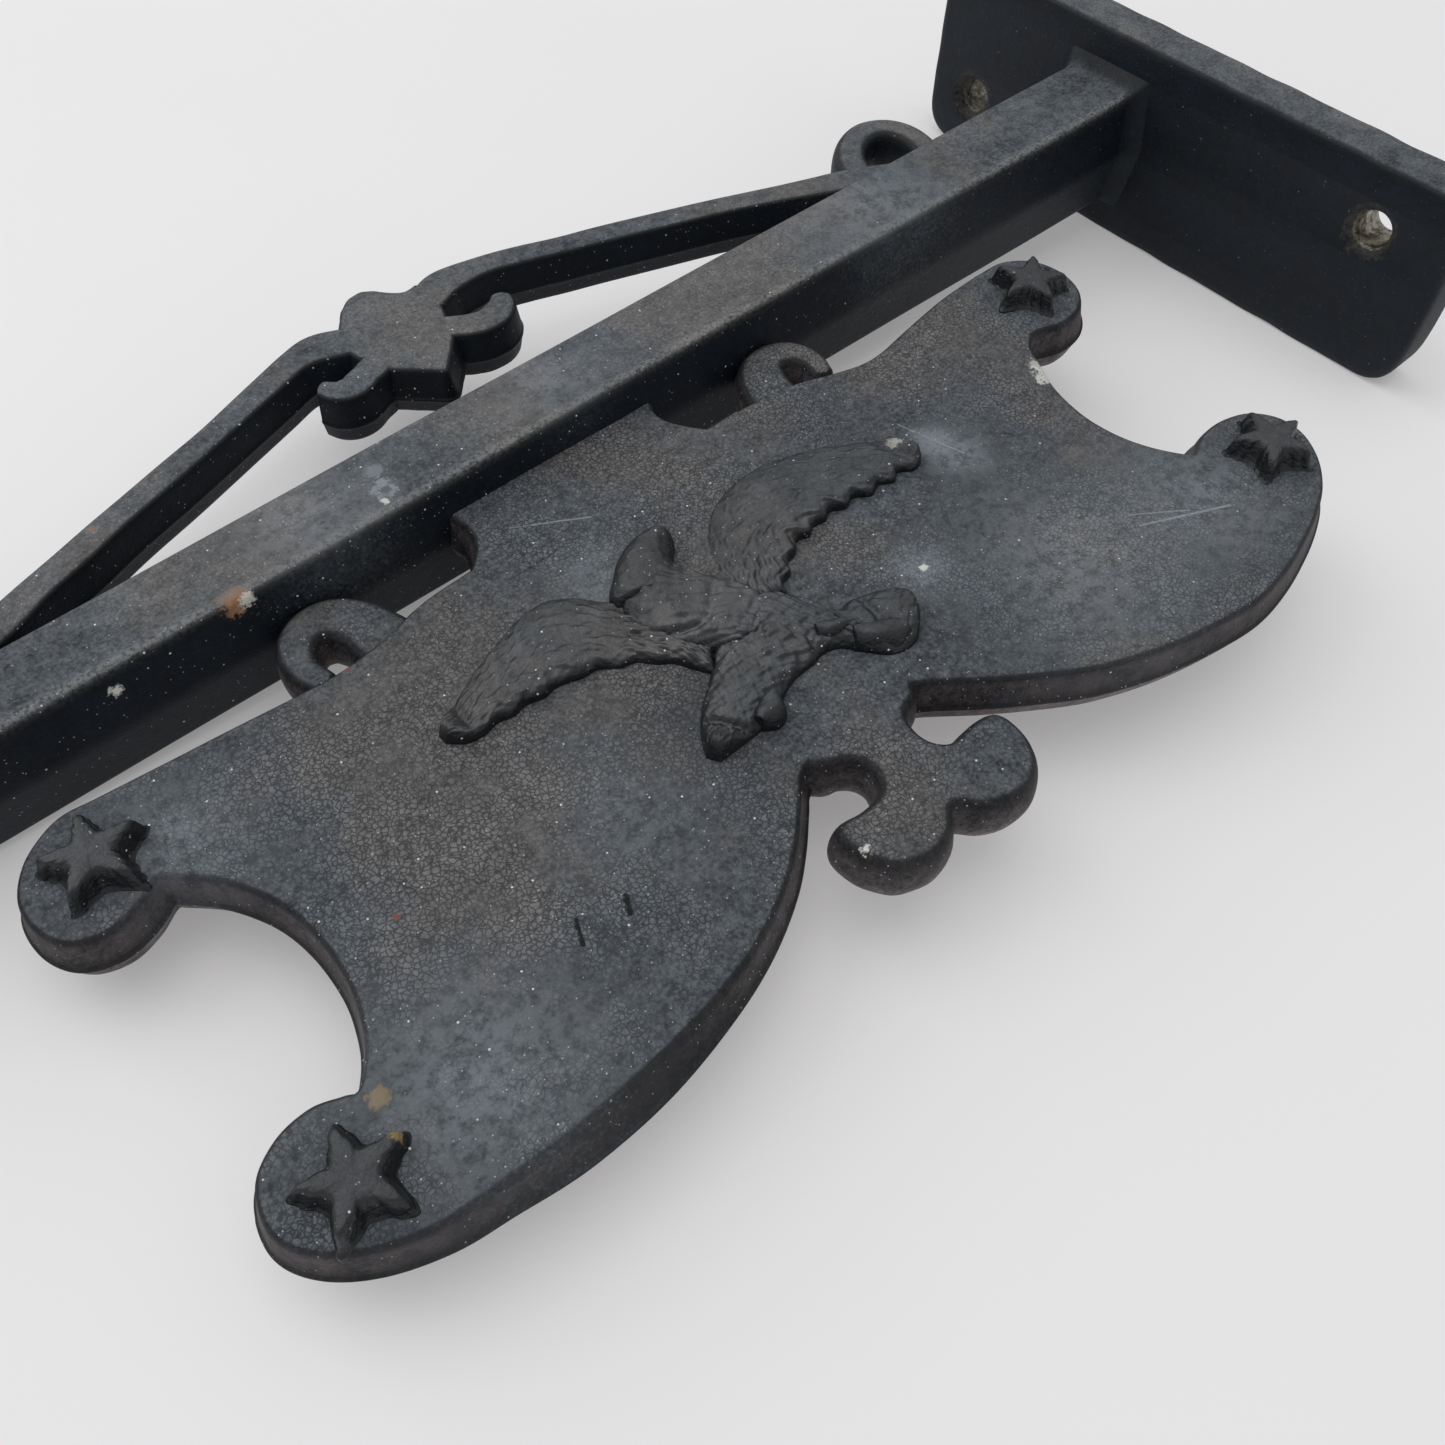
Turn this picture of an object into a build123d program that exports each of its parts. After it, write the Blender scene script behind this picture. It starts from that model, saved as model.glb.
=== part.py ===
from build123d import *
from math import cos, hypot, radians, sin, sqrt
import os

os.makedirs("parts", exist_ok=True)

# Cast wall bracket with a hanging tavern sign, in millimetres.
# X: +X points at the wall; the wall plate's back face is X = 0 and the arm runs to -X.
# Y: +Y is up once the bracket is screwed to a wall (the brace side of the arm).
# Z: +Z comes out of the sign's face; Z = 0 is the casting's parting plane.

# ---- driving dimensions ----
plate_thick = 7.5            # wall plate, along X
plate_wide = 30.4            # wall plate, along Z
plate_up = 34.0              # wall plate above the arm's axis
plate_down = 60.0            # wall plate below the arm's axis
plate_round = 6.0            # wall plate corner radius
screw_r = 2.6                # clearance hole for a 5 mm wood screw
screw_sink_r = 3.9           # shallow countersink
screw_up_y = 25.0            # upper hole
screw_down_y = -47.5         # lower hole
screw_off_z = 5.8            # the two holes sit on a diagonal

arm_length = 228.0           # back of the wall plate to the free end
arm_top_half = 6.25          # half width of the flat top at the wall
arm_mid_half = 7.5           # half width on the parting plane at the wall
arm_half_high = 8.6          # half height at the wall
arm_taper = 0.80             # free end section over wall end section, across
arm_taper_z = 0.85           # free end section over wall end section, in height
arm_flare = 3.0              # ramp where the arm grows out of the plate

sign_x = -121.0              # the sign's own centre line
flat_thick = 7.0             # sign, hangers and brace, all on the parting plane
lean_deg = 17.0              # draft of the sign's edges, up and down from the parting plane

boss_top_x = 68.2            # star bosses, from the sign's centre line
boss_top_y = -22.4
boss_top_r = 8.2
boss_low_x = 65.8
boss_low_y = -63.8
boss_low_r = 8.4
bay_x = 79.3                 # round bay cut between the bosses
bay_y = -45.2
bay_r = 22.9
head_y = -17.6               # lowest point of the sign's top edge
slot_y = -13.6               # bottom of the two long slots under the arm
belly_x = 47.0               # lowest point of each wing
belly_y = -77.2
waist_x = 8.4                # where each wing meets the drop's neck
waist_y = -60.2

web_half = 15.2              # solid web between the slots
scroll_x = 35.4              # C-scroll hangers
scroll_y = -13.0
scroll_r = 6.5
scroll_eye_r = 2.8
scroll_eye_x = 36.9
scroll_gap = 1.6             # mouth of each C

drop_y = -69.6               # bilobed drop under the sign
drop_lobe_x = 6.3
drop_lobe_r = 5.6
drop_top_y = -67.1           # flat shoulders of the drop
neck_half = 3.7

star_r = 5.9                 # five-pointed stars on the bosses
star_high = 2.2

strap_wide = 4.4             # brace straps
strap_foot = (75.0, 10.9)    # strap centre line, end nearest the arm
strap_knee = (24.0, 28.2)
eye_x = 10.2                 # hollow under each strap's inner end
eye_y = 25.4
eye_r = 3.95
hook_r = 6.9                 # outside of the hook below the hollow
crown_y = 36.2               # top of the centre ornament
point_y = 15.6               # bottom point of the centre ornament
crown_half = 4.7
end_curl_x = 80.5            # ring where each strap lands on the arm
end_curl_y = 14.6
end_curl_r = 8.3
end_curl_eye_r = 4.2

relief = 2.4                 # height of the bird over the sign's face
bird_x = -0.5                # the bird's body, from the sign's centre line
bird_y = -38.5
bird_half_wide = 6.4
bird_half_long = 10.5
head_x = -3.0                # the bird's head, beak towards the wall
head_r = 3.7
wing_reach = 34.0            # wing tip from the bird's centre line
foot_x = 12.6                # end of each leg
foot_y = -50.4
leg_wide = 6.2

# ---- sizes that follow from the ones above ----
half_thick = flat_thick / 2
arm_end_x = -arm_length


def arm_section(x):
    """Half widths and half height of the arm at a distance along X."""
    run = -x / arm_length
    across = 1 - (1 - arm_taper) * run
    high = 1 - (1 - arm_taper_z) * run
    return arm_top_half * across, arm_mid_half * across, arm_half_high * high


def arm_outline(x):
    """Six corners of the arm's section, in the plane's own (Y, Z)."""
    top, mid, high = arm_section(x)
    return [(top, high), (mid, 0), (top, -high), (-top, -high), (-mid, 0), (-top, high)]


# ---- wall plate ----
with BuildPart() as wall_plate:
    with BuildSketch(Plane.YZ.offset(-plate_thick)):
        with Locations(((plate_up - plate_down) / 2, 0)):
            RectangleRounded(plate_up + plate_down, plate_wide, plate_round)
    extrude(amount=plate_thick)
    front = wall_plate.faces().sort_by(Axis.X)[0]
    chamfer(front.edges(), 0.8)
    face = Plane(origin=(-plate_thick, 0, 0), x_dir=(0, 1, 0), z_dir=(-1, 0, 0))
    with Locations(face):
        with Locations((screw_up_y, screw_off_z), (screw_down_y, -screw_off_z)):
            CounterSinkHole(screw_r, screw_sink_r, counter_sink_angle=90)

# ---- arm ----
with BuildPart() as arm:
    for x in (-plate_thick - arm_flare, arm_end_x + 3):
        with BuildSketch(Plane.YZ.offset(x)):
            Polygon(*arm_outline(x), align=None)
    loft()
    far = arm.faces().sort_by(Axis.X)[0]
    extrude(far, amount=3, taper=28)

# ---- ramp between arm and plate ----
with BuildPart() as arm_root:
    with BuildSketch(Plane.YZ.offset(-plate_thick - arm_flare)):
        Polygon(*arm_outline(-plate_thick - arm_flare), align=None)
    with BuildSketch(Plane.YZ.offset(-plate_thick)):
        grown = [(1.28 * y, 1.28 * z) for y, z in arm_outline(-plate_thick)]
        Polygon(*grown, align=None)
    loft()


def sign_plane(h=0.0):
    """Work plane parallel to the sign's face, centred on the sign's line."""
    return Plane(origin=(sign_x, 0, h))


def both_sides(x, y):
    """A point and its mirror image across the sign's centre line."""
    return [(x, y), (-x, y)]


def on_circle(centre, radius, degrees):
    """Point on a circle at an angle from +X."""
    turn = radians(degrees)
    return (centre[0] + radius * cos(turn), centre[1] + radius * sin(turn))


def circles_meet(c1, r1, c2, r2, side):
    """The point where two circles cross, on the chosen side of the line c1 to c2."""
    dx, dy = c2[0] - c1[0], c2[1] - c1[1]
    gap = hypot(dx, dy)
    along = (r1 * r1 - r2 * r2 + gap * gap) / (2 * gap)
    across = side * sqrt(r1 * r1 - along * along)
    ux, uy = dx / gap, dy / gap
    return (c1[0] + along * ux - across * uy, c1[1] + along * uy + across * ux)


boss_top = (boss_top_x, boss_top_y)
boss_low = (boss_low_x, boss_low_y)
bay = (bay_x, bay_y)
top_start = on_circle(boss_top, boss_top_r, 103)
top_end = circles_meet(boss_top, boss_top_r, bay, bay_r, -1)
low_start = circles_meet(boss_low, boss_low_r, bay, bay_r, 1)
low_end = on_circle(boss_low, boss_low_r, -42)

# ---- sign panel ----
with BuildPart() as sign_panel:
    with BuildSketch(sign_plane()) as outline:
        with BuildLine() as half:
            l1 = Line((0, waist_y), (0, slot_y))
            l2 = Line(l1 @ 1, (26.5, slot_y))
            l3 = ThreePointArc(l2 @ 1, (46.0, head_y), top_start)
            l4 = ThreePointArc(l3 @ 1, on_circle(boss_top, boss_top_r, 20), top_end)
            l5 = ThreePointArc(l4 @ 1, (bay_x - bay_r, bay_y), low_start)
            l6 = ThreePointArc(l5 @ 1, on_circle(boss_low, boss_low_r, 60), low_end)
            l7 = ThreePointArc(l6 @ 1, (60.6, -75.0), (belly_x, belly_y))
            l8 = ThreePointArc(l7 @ 1, (27.0, -72.2), (waist_x, waist_y))
            l9 = Line(l8 @ 1, l1 @ 0)
        make_face()
        mirror(about=Plane.YZ)
    extrude(amount=half_thick, taper=lean_deg)
    mirror(about=Plane.XY)

# ---- web that joins the panel straight to the arm ----
with BuildPart() as panel_web:
    with BuildSketch(sign_plane(-half_thick)):
        with BuildLine():
            w1 = Line((0, slot_y), (web_half + 3.5, slot_y))
            w2 = RadiusArc(w1 @ 1, (web_half, slot_y + 3.5), 3.5)
            w3 = Line(w2 @ 1, (web_half + 1.5, 0))
            w4 = Line(w3 @ 1, (0, 0))
            w5 = Line(w4 @ 1, w1 @ 0)
        make_face()
        mirror(about=Plane.YZ)
    extrude(amount=flat_thick)
    add(arm.part, mode=Mode.SUBTRACT)


def hanger(side):
    """One C-scroll hanger between the arm and the panel's top edge."""
    with BuildPart() as scroll:
        with BuildSketch(sign_plane(-half_thick)):
            with Locations((side * scroll_x, scroll_y)):
                Circle(scroll_r)
            with Locations((side * (scroll_x - 3.0), scroll_y - 3.2)):
                Rectangle(9.0, 6.5)
            with Locations((side * (scroll_x - 1.0), -7.0)):
                Rectangle(7.5, 6.0)
            with Locations((side * scroll_eye_x, scroll_y)):
                Circle(scroll_eye_r, mode=Mode.SUBTRACT)
            with Locations(Location((side * (scroll_eye_x + 4.5), scroll_y - 2.6), -side * 30)):
                Rectangle(9.0, scroll_gap, mode=Mode.SUBTRACT)
        extrude(amount=flat_thick)
        add(arm.part, mode=Mode.SUBTRACT)
        add(sign_panel.part, mode=Mode.SUBTRACT)
    return scroll


hanger_wall_side = hanger(1)
hanger_free_side = hanger(-1)

# ---- bilobed drop under the sign ----
with BuildPart() as bottom_drop:
    with BuildSketch(sign_plane(-half_thick)):
        with Locations((0, (waist_y + drop_y) / 2)):
            Rectangle(2 * neck_half, waist_y - drop_y + 3)
        with Locations(*both_sides(neck_half + 1.2, waist_y - 1.2)):
            Rectangle(2.4, 2.4)
        with Locations(*both_sides(neck_half + 2.4, waist_y - 2.4)):
            Circle(2.4, mode=Mode.SUBTRACT)
        with Locations(*both_sides(drop_lobe_x, drop_y)):
            Circle(drop_lobe_r)
        with Locations(*both_sides(neck_half + 8, drop_top_y + 3)):
            Rectangle(16, 6, mode=Mode.SUBTRACT)
    extrude(amount=flat_thick)
    add(sign_panel.part, mode=Mode.SUBTRACT)


# ---- brace above the arm ----
with BuildPart() as brace_centre:
    with BuildSketch(sign_plane(-half_thick)):
        with Locations((0, (eye_y + crown_y) / 2)):
            RectangleRounded(2 * crown_half, crown_y - eye_y, 2.4)
        with Locations((0, eye_y + (eye_r + strap_wide) / 2)):
            Rectangle(2 * eye_x, eye_r + strap_wide)
        Polygon((0, point_y), (5.3, 20.6), (5.3, eye_y + 1), (-5.3, eye_y + 1), (-5.3, 20.6), align=None)
        with Locations(*both_sides(eye_x, eye_y)):
            Circle(eye_r, mode=Mode.SUBTRACT)
    extrude(amount=flat_thick)


def hook(side):
    """The C that turns back under a strap's inner end."""
    with BuildPart() as curl:
        with BuildSketch(sign_plane(-half_thick)):
            with Locations((side * eye_x, eye_y)):
                Circle(hook_r)
                Circle(eye_r, mode=Mode.SUBTRACT)
            with Locations((side * eye_x, eye_y + 5)):
                Rectangle(20, 10, mode=Mode.SUBTRACT)
            with Locations(Location((side * (eye_x + 5.0), eye_y), side * 62)):
                Rectangle(9, 3.6, mode=Mode.SUBTRACT)
        extrude(amount=flat_thick)
        add(brace_centre.part, mode=Mode.SUBTRACT)
    return curl


def end_curl(side):
    """The ring in which a strap lands on the arm."""
    with BuildPart() as ring:
        with BuildSketch(sign_plane(-half_thick)):
            with Locations((side * end_curl_x, end_curl_y)):
                Circle(end_curl_r)
            with Locations((side * (end_curl_x - 4), 8.0)):
                Rectangle(14.0, 5.0)
            with Locations((side * end_curl_x, end_curl_y)):
                Circle(end_curl_eye_r, mode=Mode.SUBTRACT)
        extrude(amount=flat_thick)
        add(arm.part, mode=Mode.SUBTRACT)
    return ring


def strap(side, ring):
    """One sloping strap, from its ring on the arm up and over its hollow."""
    with BuildPart() as bar:
        with BuildSketch(sign_plane(-half_thick)):
            with BuildLine():
                top = (side * eye_x, eye_y + eye_r + strap_wide / 2)
                foot = (side * strap_foot[0], strap_foot[1])
                knee = (side * strap_knee[0], strap_knee[1])
                s1 = Line(foot, knee)
                TangentArc(s1 @ 1, top, tangent=s1 % 1)
            trace(line_width=strap_wide)
        extrude(amount=flat_thick)
        add(ring.part, mode=Mode.SUBTRACT)
        add(brace_centre.part, mode=Mode.SUBTRACT)
        add(arm.part, mode=Mode.SUBTRACT)
    return bar


hook_wall_side = hook(1)
hook_free_side = hook(-1)
curl_wall_side = end_curl(1)
curl_free_side = end_curl(-1)
strap_wall_side = strap(1, curl_wall_side)
strap_free_side = strap(-1, curl_free_side)


# ---- stars on the four bosses ----
def star(x, y, turn):
    """A raised five-pointed star with sloping sides."""
    with BuildPart() as solid:
        for h, size in ((half_thick, 1.0), (half_thick + star_high, 0.34)):
            with BuildSketch(sign_plane(h)):
                points = []
                for k in range(5):
                    points.append(on_circle((x, y), star_r * size, turn + 72 * k))
                    points.append(on_circle((x, y), star_r * 0.45 * size, turn + 72 * k + 36))
                Polygon(*points, align=None)
        loft()
    return solid


star_top_wall_side = star(boss_top_x, boss_top_y, 20)
star_top_free_side = star(-boss_top_x, boss_top_y, 4)
star_low_wall_side = star(boss_low_x, boss_low_y, -14)
star_low_free_side = star(-boss_low_x, boss_low_y, 8)

# ---- spread bird in relief ----
with BuildPart() as bird_body:
    with BuildSketch(sign_plane(half_thick)):
        with Locations((bird_x, bird_y)):
            Ellipse(bird_half_wide, bird_half_long)
    extrude(amount=relief + 0.8, taper=30)

with BuildPart() as bird_head:
    with BuildSketch(sign_plane(half_thick)):
        with Locations((head_x, bird_y + bird_half_long - 0.4)):
            Circle(head_r)
        Polygon((head_x, -24.6), (2.2, -25.6), (1.6, -28.6), (head_x, -30.0), align=None)
    extrude(amount=relief + 0.4, taper=24)
    add(bird_body.part, mode=Mode.SUBTRACT)


def wing(side):
    """One spread wing, scalloped along its trailing edge."""
    with BuildPart() as relief_wing:
        with BuildSketch(sign_plane(half_thick)):
            with BuildLine():
                a1 = ThreePointArc((-3.0, -31.5), (-7.6, -27.4), (-15.6, -23.7))
                a2 = ThreePointArc(a1 @ 1, (-26.4, -26.2), (-wing_reach, -32.0))
                a3 = ThreePointArc(a2 @ 1, (-wing_reach - 0.4, -34.2), (1.6 - wing_reach, -36.0))
                a4 = ThreePointArc(a3 @ 1, (-26.0, -34.4), (-17.0, -35.2))
                a5 = ThreePointArc(a4 @ 1, (-10.4, -37.8), (-5.0, -44.0))
                Line(a5 @ 1, a1 @ 0)
            make_face()
        extrude(amount=relief, taper=20)
        if side > 0:
            mirror(about=Plane.YZ.offset(sign_x), mode=Mode.REPLACE)
        add(bird_body.part, mode=Mode.SUBTRACT)
        add(bird_head.part, mode=Mode.SUBTRACT)
    return relief_wing


def leg(side, wing_part):
    """One splayed leg with its clenched foot."""
    with BuildPart() as limb:
        with BuildSketch(sign_plane(half_thick)):
            with BuildLine():
                Line((side * 1.5 + bird_x, -46.0), (side * (foot_x - 2), foot_y))
            trace(line_width=leg_wide)
            with Locations((side * foot_x, foot_y)):
                Circle(3.9)
        extrude(amount=relief + 0.2, taper=24)
        add(bird_body.part, mode=Mode.SUBTRACT)
        add(wing_part.part, mode=Mode.SUBTRACT)
    return limb


wing_wall_side = wing(1)
wing_free_side = wing(-1)
leg_wall_side = leg(1, wing_wall_side)
leg_free_side = leg(-1, wing_free_side)

# ---- labels and export ----
nodes = {
    "wall_plate": wall_plate,
    "arm": arm,
    "arm_root": arm_root,
    "sign_panel": sign_panel,
    "panel_web": panel_web,
    "hanger_wall_side": hanger_wall_side,
    "hanger_free_side": hanger_free_side,
    "bottom_drop": bottom_drop,
    "brace_centre": brace_centre,
    "hook_wall_side": hook_wall_side,
    "hook_free_side": hook_free_side,
    "strap_wall_side": strap_wall_side,
    "strap_free_side": strap_free_side,
    "curl_wall_side": curl_wall_side,
    "curl_free_side": curl_free_side,
    "star_top_wall_side": star_top_wall_side,
    "star_top_free_side": star_top_free_side,
    "star_low_wall_side": star_low_wall_side,
    "star_low_free_side": star_low_free_side,
    "bird_body": bird_body,
    "bird_head": bird_head,
    "wing_wall_side": wing_wall_side,
    "wing_free_side": wing_free_side,
    "leg_wall_side": leg_wall_side,
    "leg_free_side": leg_free_side,
}

for label, node in nodes.items():
    node.part.label = label
    export_step(node.part, "parts/" + label + ".step")
    print(label, round(node.part.volume, 1), len(node.part.solids()), node.part.is_valid)
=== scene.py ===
# %% [markdown]
# # A cast wall bracket with a hanging sign
# The bracket is one iron casting, painted black: a screw plate, a straight arm, a scrolled
# brace above it and a scalloped sign below it, with four stars and a spread-winged bird in
# relief. It lies on its back, so the sign's face looks up. The fixed frame gives every size,
# and this lesson gives each casting feature its soft foundry edges and its paint.

# %% Load the fixed frame
import bmesh
import bpy
import numpy as np
from math import radians
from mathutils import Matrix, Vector
from mathutils.geometry import delaunay_2d_cdt, tessellate_polygon


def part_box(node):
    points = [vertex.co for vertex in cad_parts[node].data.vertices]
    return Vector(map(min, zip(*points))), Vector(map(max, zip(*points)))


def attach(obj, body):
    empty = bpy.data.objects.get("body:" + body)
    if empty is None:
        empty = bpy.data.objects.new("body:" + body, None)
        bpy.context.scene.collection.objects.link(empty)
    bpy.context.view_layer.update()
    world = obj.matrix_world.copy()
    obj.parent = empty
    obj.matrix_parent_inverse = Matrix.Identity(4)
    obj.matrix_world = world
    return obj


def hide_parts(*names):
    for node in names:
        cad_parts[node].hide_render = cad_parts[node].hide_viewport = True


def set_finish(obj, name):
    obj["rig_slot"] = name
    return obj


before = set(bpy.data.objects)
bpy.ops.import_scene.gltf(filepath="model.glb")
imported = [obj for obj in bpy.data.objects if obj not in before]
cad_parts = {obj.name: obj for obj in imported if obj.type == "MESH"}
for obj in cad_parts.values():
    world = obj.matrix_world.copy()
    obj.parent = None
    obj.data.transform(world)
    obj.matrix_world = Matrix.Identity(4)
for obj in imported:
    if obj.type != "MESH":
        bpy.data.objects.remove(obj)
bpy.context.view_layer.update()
print("nodes in the frame:", len(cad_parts))

# %% [markdown]
# ## Places and sizes
# Outlines are easier to read in millimetres from the sign's own centre line, so they are
# written that way and turned into metres only when a mesh is made. The centre line is 121 mm
# from the wall. The frame gives the height of the sign's face over the parting plane, the
# arm's reach and the plate's edges.

# %% Working axes
MM = 0.001


def box_mm(node):
    """The low and the high corner of a CAD node's box, in mm."""
    return [np.array(corner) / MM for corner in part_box(node)]


SIGN_X = -121.0
FACE = round(float(box_mm("sign_panel")[1][2]), 2)
REACH = round(float(-box_mm("arm")[0][0]), 1)
plate_low, plate_high = box_mm("wall_plate")
print("sign centre line", SIGN_X, "face height", FACE, "reach", REACH)

# %% [markdown]
# ## Curves as whole arrays
# Every outline is a handful of points with a smooth curve through them. A Catmull-Rom curve
# passes through its points, and sampling it evenly by length keeps the quads even.

# %% Curve helpers
def even(path, count, closed=False):
    """Points spaced evenly by length along a dense path: the running length is a table, and
    each wanted length is looked up in it."""
    if closed:
        path = np.vstack([path, path[:1]])
    steps = np.linalg.norm(np.diff(path, axis=0), axis=1)
    run = np.concatenate([[0.0], np.cumsum(steps)])
    want = np.linspace(0, run[-1], count + 1)[:-1] if closed else np.linspace(0, run[-1], count)
    return np.stack([np.interp(want, run, path[:, k]) for k in range(path.shape[1])], axis=1)


def through(points, count, closed=False, fine=24):
    """A Catmull-Rom curve: between two points p1 and p2 the place is
    (2 p1 + (p2 - p0) t + (2 p0 - 5 p1 + 4 p2 - p3) t^2 + (3 p1 - p0 - 3 p2 + p3) t^3) / 2."""
    p = np.array(points, float)
    if closed:
        p0, p1, p2, p3 = np.roll(p, 1, 0), p, np.roll(p, -1, 0), np.roll(p, -2, 0)
    else:
        q = np.vstack([2 * p[0] - p[1], p, 2 * p[-1] - p[-2]])
        p0, p1, p2, p3 = q[:-3], q[1:-2], q[2:-1], q[3:]
    t = (np.arange(fine) / fine)[None, :, None]
    a, b, c, d = p0[:, None], p1[:, None], p2[:, None], p3[:, None]
    curve = 0.5 * (2 * b + (c - a) * t + (2 * a - 5 * b + 4 * c - d) * t**2 + (3 * b - a - 3 * c + d) * t**3)
    curve = curve.reshape(-1, p.shape[1])
    if not closed:
        curve = np.vstack([curve, p[-1:]])
    return even(curve, count, closed)


def soften(corners, reach, fine=7):
    """A polygon with rounded corners: each corner becomes a small parabola that starts and
    ends a set reach along its two edges."""
    c = np.array(corners, float)
    back, ahead = np.roll(c, 1, 0) - c, np.roll(c, -1, 0) - c
    reach = np.broadcast_to(np.array(reach, float).reshape(-1, 1), (len(c), 1))
    start = c + back / np.linalg.norm(back, axis=1, keepdims=True) * reach
    end = c + ahead / np.linalg.norm(ahead, axis=1, keepdims=True) * reach
    t = np.linspace(0, 1, fine)[None, :, None]
    curve = (1 - t) ** 2 * start[:, None] + 2 * t * (1 - t) * c[:, None] + t**2 * end[:, None]
    return curve.reshape(-1, 2)


def sideways(loop):
    """Outward unit normals of a closed anticlockwise loop: the tangent, turned a quarter to
    the right, and averaged a little along the loop."""
    tangent = np.roll(loop, -2, 0) - np.roll(loop, 2, 0) + np.roll(loop, -1, 0) - np.roll(loop, 1, 0)
    normal = np.stack([tangent[:, 1], -tangent[:, 0]], axis=1)
    for _ in range(2):
        normal = (np.roll(normal, 1, 0) + 2 * normal + np.roll(normal, -1, 0)) / 4
    return normal / np.linalg.norm(normal, axis=1, keepdims=True)


def anticlockwise(loop):
    """The same loop, reversed if its signed area is negative."""
    x, y = loop[:, 0], loop[:, 1]
    area = np.sum(x * np.roll(y, -1) - y * np.roll(x, -1))
    return loop if area > 0 else loop[::-1]


print("curve helpers ready")

# %% [markdown]
# ## From arrays to a mesh
# A grid of points becomes quads by index arithmetic: each ring of points is joined to the
# next, and caps close the ends.

# %% Mesh helpers
made = {}


def keep(name, points, quads, caps, nodes, material_slot):
    """Puts points (in mm, already in the frame's axes) and faces into a mesh, and hides the CAD
    nodes that the piece stands for. A shell whose signed volume is negative has its faces
    inside out, so they are turned. Faces with more than four corners are flat, the rest is
    shaded smooth."""
    mesh = bpy.data.meshes.new(name)
    faces = [tuple(q) for q in quads.tolist()] + [tuple(c) for c in caps]
    mesh.from_pydata((points * MM).tolist(), [], faces)
    shell = bmesh.new()
    shell.from_mesh(mesh)
    if shell.calc_volume(signed=True) < 0:
        bmesh.ops.reverse_faces(shell, faces=shell.faces)
        shell.to_mesh(mesh)
    shell.free()
    corners = np.zeros(len(mesh.polygons), dtype=np.int32)
    mesh.polygons.foreach_get("loop_total", corners)
    mesh.polygons.foreach_set("use_smooth", corners <= 4)
    piece = bpy.data.objects.new(name, mesh)
    bpy.context.scene.collection.objects.link(piece)
    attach(piece, "root")
    if nodes:
        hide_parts(*nodes)
    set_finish(piece, material_slot)
    made[name] = piece
    return piece


def ring_quads(rings, around):
    """Indices that join each ring to the next: corner (i, j), its neighbour round the ring,
    and the same two on the next ring."""
    i = np.arange(rings - 1)[:, None] * around
    j = np.arange(around)[None, :]
    k = (j + 1) % around
    return np.stack([i + j, i + k, i + around + k, i + around + j], axis=-1).reshape(-1, 4)


print("mesh helpers ready")

# %% [markdown]
# ## The foundry edge
# A sand casting is widest where the two halves of the mould met. Above that parting line the
# wall leans in a few degrees so the pattern could be drawn out, there is a thin ridge of
# flash on the line itself, and the top corner is worn round. That profile is carried round
# every flat feature, so the sign, the scrolls and the straps all show the same edge.

# %% Profile
CAST_EDGE = np.array([
    (-0.90, -3.50), (-0.50, -3.47), (-0.12, -3.36), (0.22, -3.12), (0.40, -2.70), (0.62, -2.00),
    (0.86, -1.25), (1.02, -0.92), (1.16, -0.78), (1.20, -0.64), (1.13, -0.50), (0.99, -0.38), (0.86, -0.10),
    (0.66, 0.70), (0.46, 1.50), (0.32, 2.20), (0.20, 2.70), (0.06, 3.05), (-0.14, 3.31), (-0.40, 3.45),
    (-0.66, 3.495), (-0.80, 3.50)])


def waver(loop, size, seed):
    """A slow unevenness for hand-finished patterns: three sine waves along the loop, each with
    its own phase, pushed out along the normal."""
    rng = np.random.default_rng(seed)
    s = np.arange(len(loop)) / len(loop) * 2 * np.pi
    turns = rng.integers(5, 34, 3)[:, None]
    wave = np.sin(turns * s[None, :] + rng.uniform(0, 6.28, 3)[:, None]).mean(0)
    return loop + sideways(loop) * (wave * size)[:, None]


ROUND_EDGE = np.array([
    (-1.00, -3.50), (-0.55, -3.46), (-0.10, -3.30), (0.30, -3.00), (0.62, -2.55), (0.86, -2.00),
    (1.00, -1.35), (1.05, -0.65), (1.02, 0.05), (0.93, 0.75), (0.78, 1.45), (0.58, 2.10), (0.36, 2.62),
    (0.14, 2.98), (-0.10, 3.24), (-0.36, 3.40), (-0.62, 3.47), (-0.85, 3.50)])
print("profile points:", len(CAST_EDGE), len(ROUND_EDGE))

# %% [markdown]
# ## A face that isn't quite flat
# Wet sand gives under the pattern, so a cast face has slow hollows of a tenth of a millimetre.
# They can't be seen as shapes, but they bend the light. One polygon could not hold them, so
# the face is filled with a staggered grid of points and joined by Delaunay triangles.

# %% Face filling
def hollows(x, y, seed):
    """Slow relief in mm: six plane waves, 9 to 40 mm long, in random directions, and the
    longer the wave the higher it is."""
    rng = np.random.default_rng(seed)
    way = rng.uniform(0, np.pi, 6)
    pitch = 2 * np.pi / rng.uniform(9, 40, 6)
    start = rng.uniform(0, 6.28, 6)
    waves = [np.sin(k * (x * np.cos(w) + y * np.sin(w)) + p) * 0.09 / (6 * k) ** 0.5
             for w, k, p in zip(way, pitch, start)]
    return sum(waves)


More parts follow.
